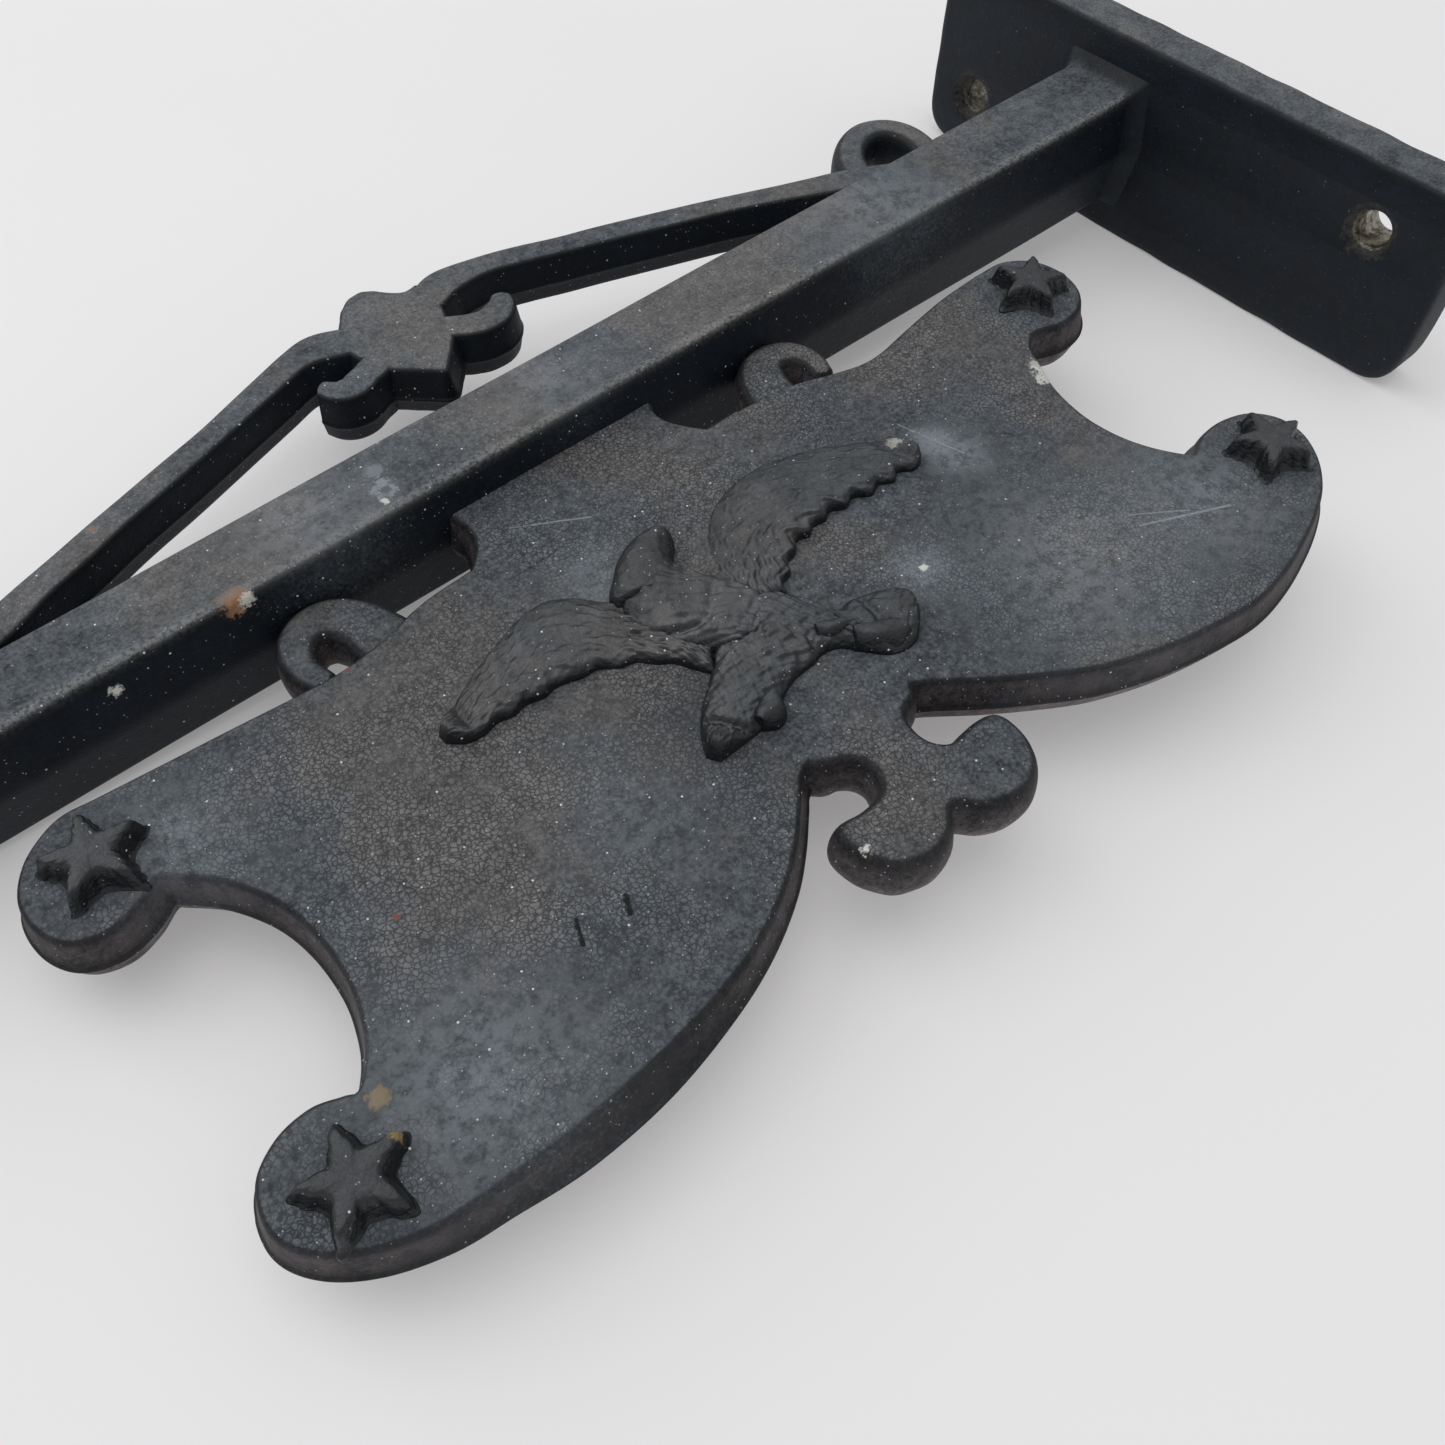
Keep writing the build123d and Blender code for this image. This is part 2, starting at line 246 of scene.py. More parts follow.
def filled_face(rim, spacing, seed):
    """Points inside the rim (a point is inside if a ray from it crosses the rim an odd number
    of times) and triangles over both, with an index below len(rim) for a rim point."""
    low, high = rim.min(0), rim.max(0)
    gx, gy = np.meshgrid(np.arange(low[0], high[0], spacing), np.arange(low[1], high[1], spacing * 0.87))
    gx = gx + (np.arange(len(gx)) % 2)[:, None] * spacing / 2
    spots = np.stack([gx.ravel(), gy.ravel()], axis=1).astype(np.float32)
    a, b = rim.astype(np.float32), np.roll(rim, -1, 0).astype(np.float32)
    spans = (a[None, :, 1] > spots[:, None, 1]) != (b[None, :, 1] > spots[:, None, 1])
    slope = (b[:, 0] - a[:, 0]) / np.where(b[:, 1] == a[:, 1], 1e-6, b[:, 1] - a[:, 1])
    crossing = a[None, :, 0] + (spots[:, None, 1] - a[None, :, 1]) * slope[None, :]
    inside = np.sum(spans & (crossing > spots[:, None, 0]), axis=1) % 2 == 1
    spots = spots[inside]
    away = np.sqrt(((spots[:, None] - a[None, ::2]) ** 2).sum(-1)).min(1)
    spots, away = spots[away > spacing * 0.5], away[away > spacing * 0.5]
    flat = np.vstack([rim, spots])
    ring = len(rim)
    rim_edges = [(i, (i + 1) % ring) for i in range(ring)]
    found = delaunay_2d_cdt([Vector(p) for p in flat.tolist()], rim_edges, [], 1, 1e-7)
    where, triangles, sources = found[0], found[2], found[3]
    index = np.array([src[0] if src else -1 for src in sources])
    extra = np.array([tuple(v) for v, src in zip(where, sources) if not src]).reshape(-1, 2)
    index[index < 0] = len(flat) + np.arange(len(extra))
    relief = hollows(spots[:, 0], spots[:, 1], seed) * np.clip(away / 5, 0, 1)
    relief = np.concatenate([relief, np.zeros(len(extra))])
    inner = np.vstack([spots, extra])
    return inner, relief, index[np.array(triangles)]


def flat_casting(name, loop, nodes, slot_name, spread=1.0, lift=0.0, rough=0.05, seed=1, spacing=1.1,
                 edge=CAST_EDGE):
    """A profile carried along a closed outline: point (i, j) is outline point j pushed along
    its normal by profile offset i, at profile height i. Both faces are filled."""
    loop = waver(anticlockwise(np.array(loop, float)), rough, seed)
    normal = sideways(loop)
    spread = np.broadcast_to(spread, len(loop))[None, :]
    push = edge[:, :1] * np.where(edge[:, :1] > 0, spread, 1.0)
    xy = loop[None] + normal[None] * push[..., None]
    z = np.broadcast_to((edge[:, 1] + np.where(edge[:, 1] > 3.0, lift, 0))[:, None], push.shape)
    grid = np.concatenate([xy, z[..., None]], axis=-1)
    rings, around = grid.shape[:2]
    points, faces = [grid.reshape(-1, 3)], []
    count = rings * around
    for ring, level, turn in ((0, -FACE, -1), (rings - 1, FACE + lift, 1)):
        inner, relief, triangles = filled_face(xy[ring], spacing if turn > 0 else spacing * 2.5, seed)
        index = np.concatenate([np.arange(around) + ring * around, np.arange(len(inner)) + count])
        flat = np.vstack([xy[ring], inner])
        one, two = (flat[triangles[:, k]] - flat[triangles[:, 0]] for k in (1, 2))
        wrong = (one[:, 0] * two[:, 1] - one[:, 1] * two[:, 0]) * turn < 0
        triangles[wrong] = triangles[wrong][:, ::-1]
        faces += index[triangles].tolist()
        points.append(np.column_stack([inner, level + relief]))
        count += len(inner)
    points = np.vstack(points)
    points[:, 0] += SIGN_X
    return keep(name, points, ring_quads(rings, around), faces, nodes, slot_name)


print("flat castings ready")

# %% [markdown]
# ## The sign
# The sign is a scalloped plate: two round bays between its star bosses, two full wings along
# the bottom and a gently dished top edge. The pattern maker's eye was not perfect, so the two
# halves differ by a millimetre or two, and the lower edge of the free-side wing was dressed
# back to a wider bevel.

# %% Sign outline
bottom_free = [
    (-6.0, -58.6), (-8.6, -59.2), (-10.3, -60.7), (-13.7, -63.8), (-17.4, -66.6), (-22.0, -69.0),
    (-27.0, -70.7), (-32.7, -71.8), (-38.6, -72.4), (-45.4, -72.6), (-50.5, -72.6), (-55.9, -72.1)]
boss_low_free = [
    (-61.4, -71.5), (-66.7, -69.6), (-70.6, -66.6), (-72.4, -62.9), (-71.3, -58.6), (-68.2, -56.4),
    (-64.6, -56.0), (-61.8, -57.0)]
bay_free = [(-60.4, -57.4), (-58.1, -54.9), (-56.6, -51.8), (-55.5, -47.6), (-55.3, -41.9), (-56.4, -36.5),
            (-59.2, -31.1), (-62.6, -27.4)]
boss_top_free = [
    (-63.6, -26.9), (-66.2, -28.4), (-69.5, -29.2), (-72.8, -28.0), (-74.5, -24.9), (-74.5, -20.7),
    (-72.6, -17.4), (-69.9, -15.4), (-67.1, -14.5)]
top_edge = [
    (-63.2, -14.9), (-52.7, -15.9), (-41.6, -17.0), (-36.0, -17.2), (-30.0, -16.4), (-26.0, -15.2),
    (-20.0, -14.6), (0.0, -14.4), (20.0, -14.6), (27.0, -14.9), (32.0, -15.7), (37.9, -17.7), (41.5, -18.6),
    (45.0, -18.6), (49.2, -17.9), (53.7, -17.1), (58.9, -16.3), (63.5, -16.0)]
boss_top_wall = [(67.3, -15.9), (71.6, -16.2), (75.0, -18.6), (76.3, -22.6), (75.2, -27.0), (71.9, -29.8),
                 (67.6, -30.4), (63.6, -29.2), (60.9, -30.6)]
bay_wall = [
    (58.9, -34.0), (56.8, -38.4), (55.7, -43.4), (55.8, -47.4), (56.6, -50.8), (58.1, -54.1), (60.3, -57.3)]
boss_low_wall = [(61.1, -57.2), (64.0, -56.0), (68.2, -55.9), (72.0, -57.3), (74.2, -60.3), (74.2, -63.8),
                 (72.2, -67.4), (68.9, -70.4)]
bottom_wall = [(65.1, -72.4), (60.1, -74.2), (53.7, -75.8), (47.2, -76.4), (40.4, -75.5), (33.8, -73.9),
               (28.0, -71.8), (23.3, -69.5), (15.9, -64.5), (9.0, -59.2), (6.6, -58.6)]
sign_points = bottom_free + boss_low_free + bay_free + boss_top_free
sign_points += top_edge + boss_top_wall + bay_wall + boss_low_wall + bottom_wall
sign_loop = anticlockwise(through(sign_points, 1150, closed=True))
low_wing = np.exp(-((sign_loop[:, 0] + 44) / 15) ** 2) * (sign_loop[:, 1] < -60)
flat_casting("sign_face", sign_loop, ["sign_panel"], "sign_paint", spread=1 + 1.15 * low_wing, seed=3)
print("sign outline points", len(sign_loop))

# %% [markdown]
# ## What hangs the sign, and what hangs from it
# A solid web joins the sign to the arm between two long slots, with a C-scroll at each outer
# end of the slots. A scroll is a strip bent round a hollow: its width changes along its
# length, so the outline is its centre line pushed out to both sides.

# %% Strips
def strip(name, line, nodes, slot_name, count=90, lift=0.0, blunt=0.5, seed=1, round_top=False):
    """A section swept along a centre line whose third number is half the strip's width. The
    section is the foundry edge on both sides, w + offset from the middle, with a faintly
    crowned top, or a round section for a scroll: (w + 1) |cos a|^0.62 wide at 3.3 |sin a|^0.8
    high. The last few stations close the far end: half width w cos(a) at w sin(a) * blunt
    past the end."""
    path = through(line, count)
    rng = np.random.default_rng(seed)
    s = np.linspace(0, 1, count)[:, None]
    unevenness = (np.sin(s * rng.uniform(9, 40, 3) + rng.uniform(0, 6.28, 3)) * 0.016).sum(1)
    path[:, 2] += unevenness * np.clip(path[:, 2] - 0.4, 0, 1)
    c, w = path[:, :2], path[:, 2]
    along = np.gradient(c, axis=0)
    along /= np.linalg.norm(along, axis=1, keepdims=True)
    a = np.linspace(0.15, np.pi / 2 - 0.12, 9)
    c = np.vstack([c, c[-1] + along[-1] * (w[-1] * blunt * np.sin(a))[:, None]])
    w = np.concatenate([w, w[-1] * np.cos(a) ** (0.5 if blunt < 0.6 else 1.0)])
    along = np.vstack([along, np.repeat(along[-1:], 9, 0)])
    left = np.stack([-along[:, 1], along[:, 0]], axis=1)
    push, z = CAST_EDGE[:, 0][None], CAST_EDGE[:, 1]
    inward = push * np.clip(w / 1.6, 0.1, 1)[:, None]
    outward = push * 0.62 * np.clip(w / 0.8, 0.3, 1)[:, None]
    side = w[:, None] + np.where(push < 0, inward, outward)
    if round_top:
        turn = np.linspace(-0.5, 0.5, len(z)) * np.pi * 0.92
        side = (w[:, None] + np.minimum(w, 1.0)[:, None] * 0.75) * np.abs(np.cos(turn))[None] ** 0.62
        z = np.sign(turn) * 3.32 * np.abs(np.sin(turn)) ** 0.8
    z = np.where(z > 3.0, z + lift, z)
    top = side[:, -1:] * np.array([-0.5, 0.0, 0.5])[None]
    lateral = np.concatenate([-side, top, side[:, ::-1], -top], axis=1)
    crown, belly = z[-1] + np.array([0.03, 0.05, 0.03]), z[0] - np.array([0.0, 0.01, 0.0])
    height = np.concatenate([z, crown, z[::-1], belly])
    xy = c[:, None] + left[:, None] * lateral[..., None]
    grid = np.concatenate([xy, np.broadcast_to(height[None, :, None], xy.shape[:2] + (1,))], axis=-1)
    grid[..., 0] += SIGN_X
    rings, around = grid.shape[:2]
    caps = [tuple(range(around - 1, -1, -1)), tuple(range((rings - 1) * around, rings * around))]
    return keep(name, grid.reshape(-1, 3), ring_quads(rings, around), caps, nodes, slot_name)


web_points = [(-18.5, -19.0), (18.5, -19.0), (18.3, -15.0), (16.6, -13.0), (14.9, -10.2), (14.8, -7.6),
              (16.6, -4.8), (16.6, -3.0), (-15.4, -3.0), (-15.0, -5.6), (-14.2, -9.4), (-15.3, -12.2),
              (-16.9, -13.8), (-18.6, -15.2)]
web_reach = [1, 1, 1, 1.2, 1.5, 1.2, 1, 0.6, 0.6, 1.2, 1.6, 1.3, 1, 0.6]
web_loop = even(soften(web_points, web_reach), 260, True)
web = flat_casting("sign_web", web_loop, ["panel_web"], "sign_paint", lift=-0.03, seed=4)

scroll_free_line = [
    (-29.8, -20.0, 3.6), (-30.5, -15.5, 3.3), (-31.3, -12.2, 2.9), (-33.2, -9.6, 2.6), (-35.7, -8.9, 2.15),
    (-37.9, -9.9, 1.9), (-39.2, -12.0, 1.65), (-39.5, -14.2, 1.4), (-38.9, -16.4, 1.2)]
scroll_wall_line = [
    (28.4, -20.0, 3.4), (29.0, -15.4, 3.3), (30.0, -12.0, 3.0), (31.8, -9.8, 2.5), (33.9, -9.2, 2.1),
    (35.9, -9.9, 1.8), (37.1, -11.5, 1.5), (37.4, -13.6, 1.3), (36.9, -15.6, 1.1)]
scrolls = [strip(f"scroll_{side}", line, [f"hanger_{side}_side"], "sign_paint", count=110, lift=-0.05,
                 blunt=1.0, seed=seed, round_top=True)
           for side, line, seed in (("free", scroll_free_line, 5), ("wall", scroll_wall_line, 6))]

drop_points = [
    (-8.4, -55.0), (-6.3, -59.4), (-4.2, -60.3), (-2.7, -61.8), (-2.3, -63.6), (-3.0, -65.4), (-4.6, -66.6),
    (-7.4, -66.6), (-9.8, -66.3), (-10.7, -67.4), (-10.3, -70.3), (-8.5, -73.0), (-5.3, -74.2),
    (-2.4, -73.6), (-0.4, -71.9), (0.4, -71.6), (1.6, -72.4), (3.3, -74.1), (5.9, -75.1), (8.9, -74.9),
    (11.2, -73.2), (12.4, -70.4), (12.3, -67.9), (11.2, -66.9), (8.4, -66.8), (6.0, -66.9), (4.4, -65.6),
    (3.9, -63.4), (4.3, -61.4), (5.6, -60.1), (7.6, -59.2), (10.0, -55.0)]
drop = flat_casting("sign_drop", through(drop_points, 330, closed=True), ["bottom_drop"], "sign_paint",
                    lift=-0.04, seed=7, edge=ROUND_EDGE)
print("web, scrolls and drop:", web.name, [s.name for s in scrolls], drop.name)

# %% [markdown]
# ## The brace
# Two straps climb from the arm to a small crowned ornament, and each strap turns back under
# itself in a hook. Where a strap lands on the arm it ends in an open curl.

# %% Straps, hooks, curls and ornament
crown_points = [
    (-6.6, 31.0), (-5.4, 32.4), (-4.2, 34.2), (-2.0, 35.9), (0.2, 36.1), (1.8, 35.0), (3.0, 33.3),
    (4.6, 32.2), (6.8, 32.6), (7.0, 27.0), (6.0, 24.4), (5.0, 22.4), (4.4, 20.3), (2.0, 17.6), (-0.3, 15.0),
    (-3.0, 17.5), (-5.9, 20.3), (-6.2, 22.4), (-7.6, 24.6), (-8.0, 27.0)]
crown_loop = even(soften(crown_points, 0.55, 5), 240, True)
flat_casting("brace_crown", crown_loop, ["brace_centre"], "body_paint", lift=0.05, seed=8)
hook_free_line = [
    (-4.2, 23.4, 2.2), (-6.4, 22.3, 2.2), (-8.9, 21.3, 2.15), (-11.1, 20.5, 2.15), (-12.9, 21.1, 1.95),
    (-14.1, 22.6, 1.4)]
hook_wall_line = [
    (3.4, 23.2, 2.2), (5.4, 22.2, 2.2), (7.2, 21.1, 2.2), (9.2, 20.4, 2.25), (11.2, 20.6, 2.25),
    (13.0, 21.7, 1.95), (14.0, 23.0, 1.5)]
strap_free_line = [
    (-76.0, 8.0, 2.6), (-70.0, 10.4, 2.7), (-62.0, 12.5, 2.4), (-56.0, 14.9, 2.1), (-51.0, 16.6, 2.05),
    (-45.0, 18.8, 1.95), (-36.5, 21.6, 1.95), (-29.6, 23.9, 1.9), (-25.0, 25.6, 1.95), (-18.6, 28.0, 2.1),
    (-14.2, 29.6, 2.2), (-10.6, 29.9, 2.75), (-6.8, 28.6, 2.7), (-3.5, 27.6, 2.6)]
strap_wall_line = [
    (76.0, 8.6, 2.6), (70.0, 11.6, 2.5), (64.5, 13.8, 2.2), (59.0, 16.0, 1.95), (50.4, 19.3, 1.9),
    (41.5, 22.3, 1.95), (33.0, 25.1, 1.95), (27.0, 26.9, 1.95), (21.5, 28.8, 1.95), (16.0, 30.3, 2.0),
    (10.2, 30.6, 2.7), (6.8, 29.4, 2.7), (3.5, 28.0, 2.6)]
curl_wall_line = [
    (71.8, 9.5, 2.2), (72.8, 13.6, 2.1), (74.9, 16.9, 2.0), (78.0, 19.2, 2.0), (81.6, 20.0, 1.95),
    (84.6, 18.4, 1.9), (85.9, 15.2, 1.85), (85.4, 11.3, 1.85), (83.6, 7.5, 1.8)]
curl_free_line = [(-x, y, w) for x, y, w in curl_wall_line]
brace_lines = {"hook_free": hook_free_line, "hook_wall": hook_wall_line, "strap_free": strap_free_line,
               "strap_wall": strap_wall_line, "curl_free": curl_free_line, "curl_wall": curl_wall_line}
for seed, (label, line) in enumerate(brace_lines.items(), start=11):
    strip(f"brace_{label}", line, [f"{label}_side"], "body_paint", count=220 if "strap" in label else 90,
          lift=0.02 * (seed % 3), blunt=0.35, seed=seed, round_top="curl" in label)
print("brace pieces", [n for n in made if n.startswith("brace")])

# %% [markdown]
# ## The arm and its root
# The arm is a six-sided bar, widest on the parting line, that thins towards its free end. A
# bar is its section swept along a straight line: the section's corners are rounded first, and
# each station scales it. A faint bead runs along the top face on the sign's side, where thick
# paint has gathered, and handling has rubbed its crest pale.

# %% Arm
def arm_size(x):
    """Half width of the top face and half height, each falling in a straight line from the
    wall (x = 0) to the free end."""
    run = -x / REACH
    return 6.25 * (1 - 0.20 * run), 8.6 * (1 - 0.15 * run)


section_corners = [
    (-1.2, 0.07), (-1.2, -0.07), (-1, -1), (1, -1), (1.2, -0.07), (1.2, 0.07), (1, 1), (-1, 1)]
section = soften(section_corners, [0.05, 0.05, 0.12, 0.12, 0.05, 0.05, 0.11, 0.11], 7)
section = even(section, 150, True)
straight, tip_round = 240, 3.2
bend = np.linspace(0.1, 1, 7) * np.pi / 2
end_rings = [0.58, 0.42, 0.26, 0.12]
along_bar = np.linspace(-7.0, tip_round - REACH, straight)
round_tip = tip_round * (1 - np.sin(bend)) - REACH
stations = np.concatenate([along_bar, round_tip, np.full(len(end_rings), -REACH)])
closing = np.concatenate([np.ones(straight), np.cos(bend) * 0.35 + 0.65, end_rings])
top, high = arm_size(stations)
rng = np.random.default_rng(21)
sway = sum(np.sin(stations / s + p) for s, p in zip((9.0, 17.0, 31.0), rng.uniform(0, 6, 3))) * 0.05
y = section[None, :, 0] * (top * closing)[:, None]
z = section[None, :, 1] * (high * closing)[:, None]
bead = np.exp(-((y + top[:, None] - 1.15) / 0.42) ** 2) * (z > 0.9 * high[:, None]) * 0.20
swayed = y + (sway * closing)[:, None] * np.sign(y) * 0.8
arm_grid = np.stack([np.broadcast_to(stations[:, None], y.shape), swayed, z + bead], axis=-1)
rings, around = y.shape
arm_caps = [tuple(range(around)), tuple(range(rings * around - 1, (rings - 1) * around - 1, -1))]
arm_quads = ring_quads(rings, around)
arm_bar = keep("arm_bar", arm_grid.reshape(-1, 3), arm_quads, arm_caps, ["arm"], "body_paint")
rub = np.exp(-((y + top[:, None] - 0.75) / 0.55) ** 2) * (z > 0.86 * high[:, None])
rubbed = arm_bar.data.attributes.new("rubbed", "FLOAT", "POINT")
rubbed.data.foreach_set("value", rub.ravel().astype(np.float32))
print("arm grid", arm_grid.shape)

# %% Arm root
grow = np.linspace(0, 1, 14)
root_x = -11.6 + 4.6 * grow
root_scale = 0.985 + 0.30 * grow**1.9
root_top, root_high = arm_size(-9.0)
wide = section[None, :, 0] * (root_top * root_scale)[:, None]
tall = section[None, :, 1] * (root_high * root_scale)[:, None]
root_grid = np.stack([np.broadcast_to(root_x[:, None], wide.shape), wide, tall], axis=-1)[::-1]
root_caps = [tuple(range(around)), tuple(range(len(grow) * around - 1, (len(grow) - 1) * around - 1, -1))]
root_quads = ring_quads(len(grow), around)
keep("arm_foot", root_grid.reshape(-1, 3), root_quads, root_caps, ["arm_root"], "body_paint")
print("root grid", root_grid.shape)

# %% [markdown]
# ## The wall plate
# The plate is the same idea turned on edge: a rounded rectangle carried through a soft edge
# profile. Its two faces have screw holes, so they are filled as polygons with holes, and each
# hole gets a wall of its own with a shallow countersink.

# %% Wall plate
low_y, high_y, half_z = plate_low[1], plate_high[1], plate_high[2]
plate_corners = [(low_y, -half_z), (high_y, -half_z), (high_y, half_z), (low_y, half_z)]
plate_loop = waver(even(soften(plate_corners, 6.5, 12), 420, True), 0.10, 31)
PLATE_EDGE = [
    (-1.5, 0.0), (-0.7, 0.0), (-0.28, 0.1), (-0.06, 0.35), (0.0, 0.8), (0.0, 3.6), (0.0, 5.9), (-0.08, 6.6),
    (-0.34, 7.14), (-0.8, 7.42), (-1.6, 7.5)]
SCREW_HOLES = [(25.0, -5.8), (-47.5, 5.8)]
HOLE_SIDES = 48
HOLE_WALL = [
    (4.25, 7.5), (4.0, 7.46), (3.7, 7.3), (3.3, 6.95), (2.85, 6.5), (2.6, 6.1), (2.6, 3.0), (2.6, 0.3),
    (2.7, 0.06), (2.85, 0.0)]


def on_plate(yz, depth):
    """A point of the plate: depth runs from the wall face (0) to the front."""
    x = np.full(yz.shape[:-1] + (1,), -depth, float)
    return np.concatenate([x, yz], axis=-1)


angle = np.linspace(0, 2 * np.pi, HOLE_SIDES + 1)[:-1]
circle = np.stack([np.cos(angle), np.sin(angle)], axis=1)
normal = sideways(plate_loop)
plate_around = len(plate_loop)
points = [on_plate(plate_loop + normal * push, depth) for push, depth in PLATE_EDGE]
quads = [ring_quads(len(PLATE_EDGE), plate_around)[:, ::-1]]
rim_back = np.arange(plate_around)
rim_front = rim_back + (len(PLATE_EDGE) - 1) * plate_around
base = len(PLATE_EDGE) * plate_around
fronts, backs = [], []
for centre in SCREW_HOLES:
    points += [on_plate(circle * radius + centre, depth) for radius, depth in HOLE_WALL]
    quads.append(ring_quads(len(HOLE_WALL), HOLE_SIDES)[:, ::-1] + base)
    fronts.append(np.arange(HOLE_SIDES) + base)
    base += len(HOLE_WALL) * HOLE_SIDES
    backs.append(np.arange(HOLE_SIDES) + base - HOLE_SIDES)
points = np.vstack(points)


def filled(rim, inner, flip):
    """Triangles of a flat face with holes, as indices into the whole point list."""
    index = np.concatenate([rim] + inner)
    loops = [[Vector(p) for p in points[part]] for part in [rim] + inner]
    triangles = np.array(tessellate_polygon(loops))
    a, b, c = (points[index[triangles[:, k]]] for k in range(3))
    facing = np.cross(b - a, c - a)[:, 0]
    wrong = facing > 0 if flip else facing < 0
    triangles[wrong] = triangles[wrong][:, ::-1]
    return index[triangles]


front_faces = filled(rim_front, fronts, True)
back_faces = filled(rim_back, backs, False)
plate_caps = [tuple(t) for t in np.vstack([front_faces, back_faces]).tolist()]
keep("screw_plate", points, np.vstack(quads), plate_caps, ["wall_plate"], "body_paint")
print("plate points", len(points), "triangles in its faces", len(plate_caps))

# %% [markdown]
# ## Stars
# Each boss carries a small five-pointed star, as the pattern's applied ornaments had: a flat
# top, steep walls and blunt tips. The star is one radius that swings between tip and waist as
# it goes round, carried through a few heights.

# %% Stars
STAR_TIP, STAR_WAIST, STAR_SIDES = 6.1, 2.75, 180
STAR_SKIRT = [(-0.75, 3.2), (-0.62, 3.5), (-0.35, 3.62), (-0.12, 3.9)]
STAR_WALL = [(0.12, 0.6), (0.34, 1.15), (0.58, 1.48), (0.86, 1.65), (1.2, 1.72), (1.65, 1.76), (2.1, 1.78)]
STAR_STEEP = 2.9 / 2.1


def star(name, node, place, turn, seed):
    """Rings of one closed curve: ten corners, rounded, and shrunk a little at each height. The
    skirt spreads on to the boss, the wall rises from it, and the last rings make a low dome so
    that the top isn't a dead flat."""
    points_out = np.arange(10) % 2 == 0
    a = radians(turn) + np.pi / 2 + np.arange(10) * np.pi / 5
    r = np.where(points_out, STAR_TIP, STAR_WAIST)
    corners = np.stack([r * np.cos(a), r * np.sin(a)], axis=1)
    loop = waver(even(soften(corners, np.where(points_out, 1.7, 0.6), 9), STAR_SIDES, True), 0.10, seed)
    radius = np.linalg.norm(loop, axis=1)[:, None]
    levels = STAR_SKIRT + [(push, STAR_SKIRT[-1][1] + rise * STAR_STEEP) for push, rise in STAR_WALL]
    rings = [loop * np.maximum(1 - push / radius, 0.18) for push, z in levels] + [loop * 0.16]
    heights = [z for push, z in levels] + [levels[-1][1] + 0.05]
    layers = [np.column_stack([ring + place, np.full(STAR_SIDES, z)]) for ring, z in zip(rings, heights)]
    grid = np.stack(layers)
    grid[..., 0] += SIGN_X
    last = (len(rings) - 1) * STAR_SIDES
    caps = [tuple(range(STAR_SIDES - 1, -1, -1)), tuple(range(last, last + STAR_SIDES))]
    quads = ring_quads(len(rings), STAR_SIDES)
    return keep(name, grid.reshape(-1, 3), quads, caps, [node], "relief_paint")


stars = [star("star_upper_free", "star_top_free_side", (-67.0, -22.2), -12.0, seed=41),
         star("star_upper_wall", "star_top_wall_side", (69.0, -23.2), 20.0, seed=42),
         star("star_lower_free", "star_low_free_side", (-64.9, -64.4), -11.0, seed=43),
         star("star_lower_wall", "star_low_wall_side", (67.4, -63.1), -20.0, seed=44)]
print("stars", [s.name for s in stars])

# %% [markdown]
# ## The bird
# The bird is low relief, worn soft by many coats of paint. Each part is a pillow stretched
# between two edge lines: the width runs from one line to the other, the height swells between
# them, and a second, finer height adds feathers. The wings are thin along the front edge and
# stand up along the rear edge, where the light catches them.

# %% Pillow helper
RELIEF_FOOT = 3.2              # a little under the sign's face, so that no gap shows


def lump(name, one_side, other_side, height, nodes, count=150, across=44, power=3.0):
    """Point (u, w) lies w of the way from one edge line to the other. Its height is
    height(u, w) * (1 - |2w - 1|^power)^(1/power), which is steep at the edges and flat in the
    middle. A flat underside closes each ring."""
    a, b = through(one_side, count), through(other_side, count)
    w = (1 - np.cos(np.pi * np.linspace(0, 1, across))) / 2
    u = np.linspace(0, 1, count)[:, None]
    xy = a[:, None] * (1 - w[None, :, None]) + b[:, None] * w[None, :, None]
    swell = np.clip(1 - np.abs(2 * w - 1) ** power, 0, 1) ** (1 / power)
    ends = np.clip(np.minimum(u, 1 - u) / 0.06, 0, 1)
    ends = np.sqrt(1 - (1 - ends) ** 2)
    z = RELIEF_FOOT + 0.25 + (height(u, w[None, :]) * swell[None, :]) * ends
    top = np.concatenate([xy, z[..., None]], axis=-1)
    under = top[:, [-1, across * 2 // 3, across // 3, 0]].copy()
    under[..., 2] = RELIEF_FOOT - 0.3
    grid = np.concatenate([top, under], axis=1)
    grid[..., 0] += SIGN_X
    around = across + 4
    caps = [tuple(range(around - 1, -1, -1)), tuple(range((count - 1) * around, count * around))]
    return keep(name, grid.reshape(-1, 3), ring_quads(count, around), caps, nodes, "relief_paint")


print("pillow helper ready")

# %% Feathers and wings
def plumage(seed, depth=0.16, fine=1.0):
    """Small overlapping feathers: products of crossed sine waves of three sizes, where slower
    waves bend the two larger ones."""
    p = np.random.default_rng(seed).uniform(0, 6.28, 6)

    def feathers(u, w):
        bent_across = np.sin(27 * fine * u + 7 * w + 1.5 * np.sin(11 * w + p[4]) + p[0])
        bent_along = np.sin(61 * fine * u + 2.0 * np.sin(9 * u + p[5]) + p[2])
        barbs = np.sin(96 * fine * u + 5 * w + p[5])
        return depth * (bent_across * np.sin(15 * fine * w - 9 * u + p[1])
                        + 0.55 * bent_along * np.sin(34 * fine * w + 8 * u + p[3])
                        + 0.30 * barbs * np.sin(52 * fine * w + p[0]))
    return feathers


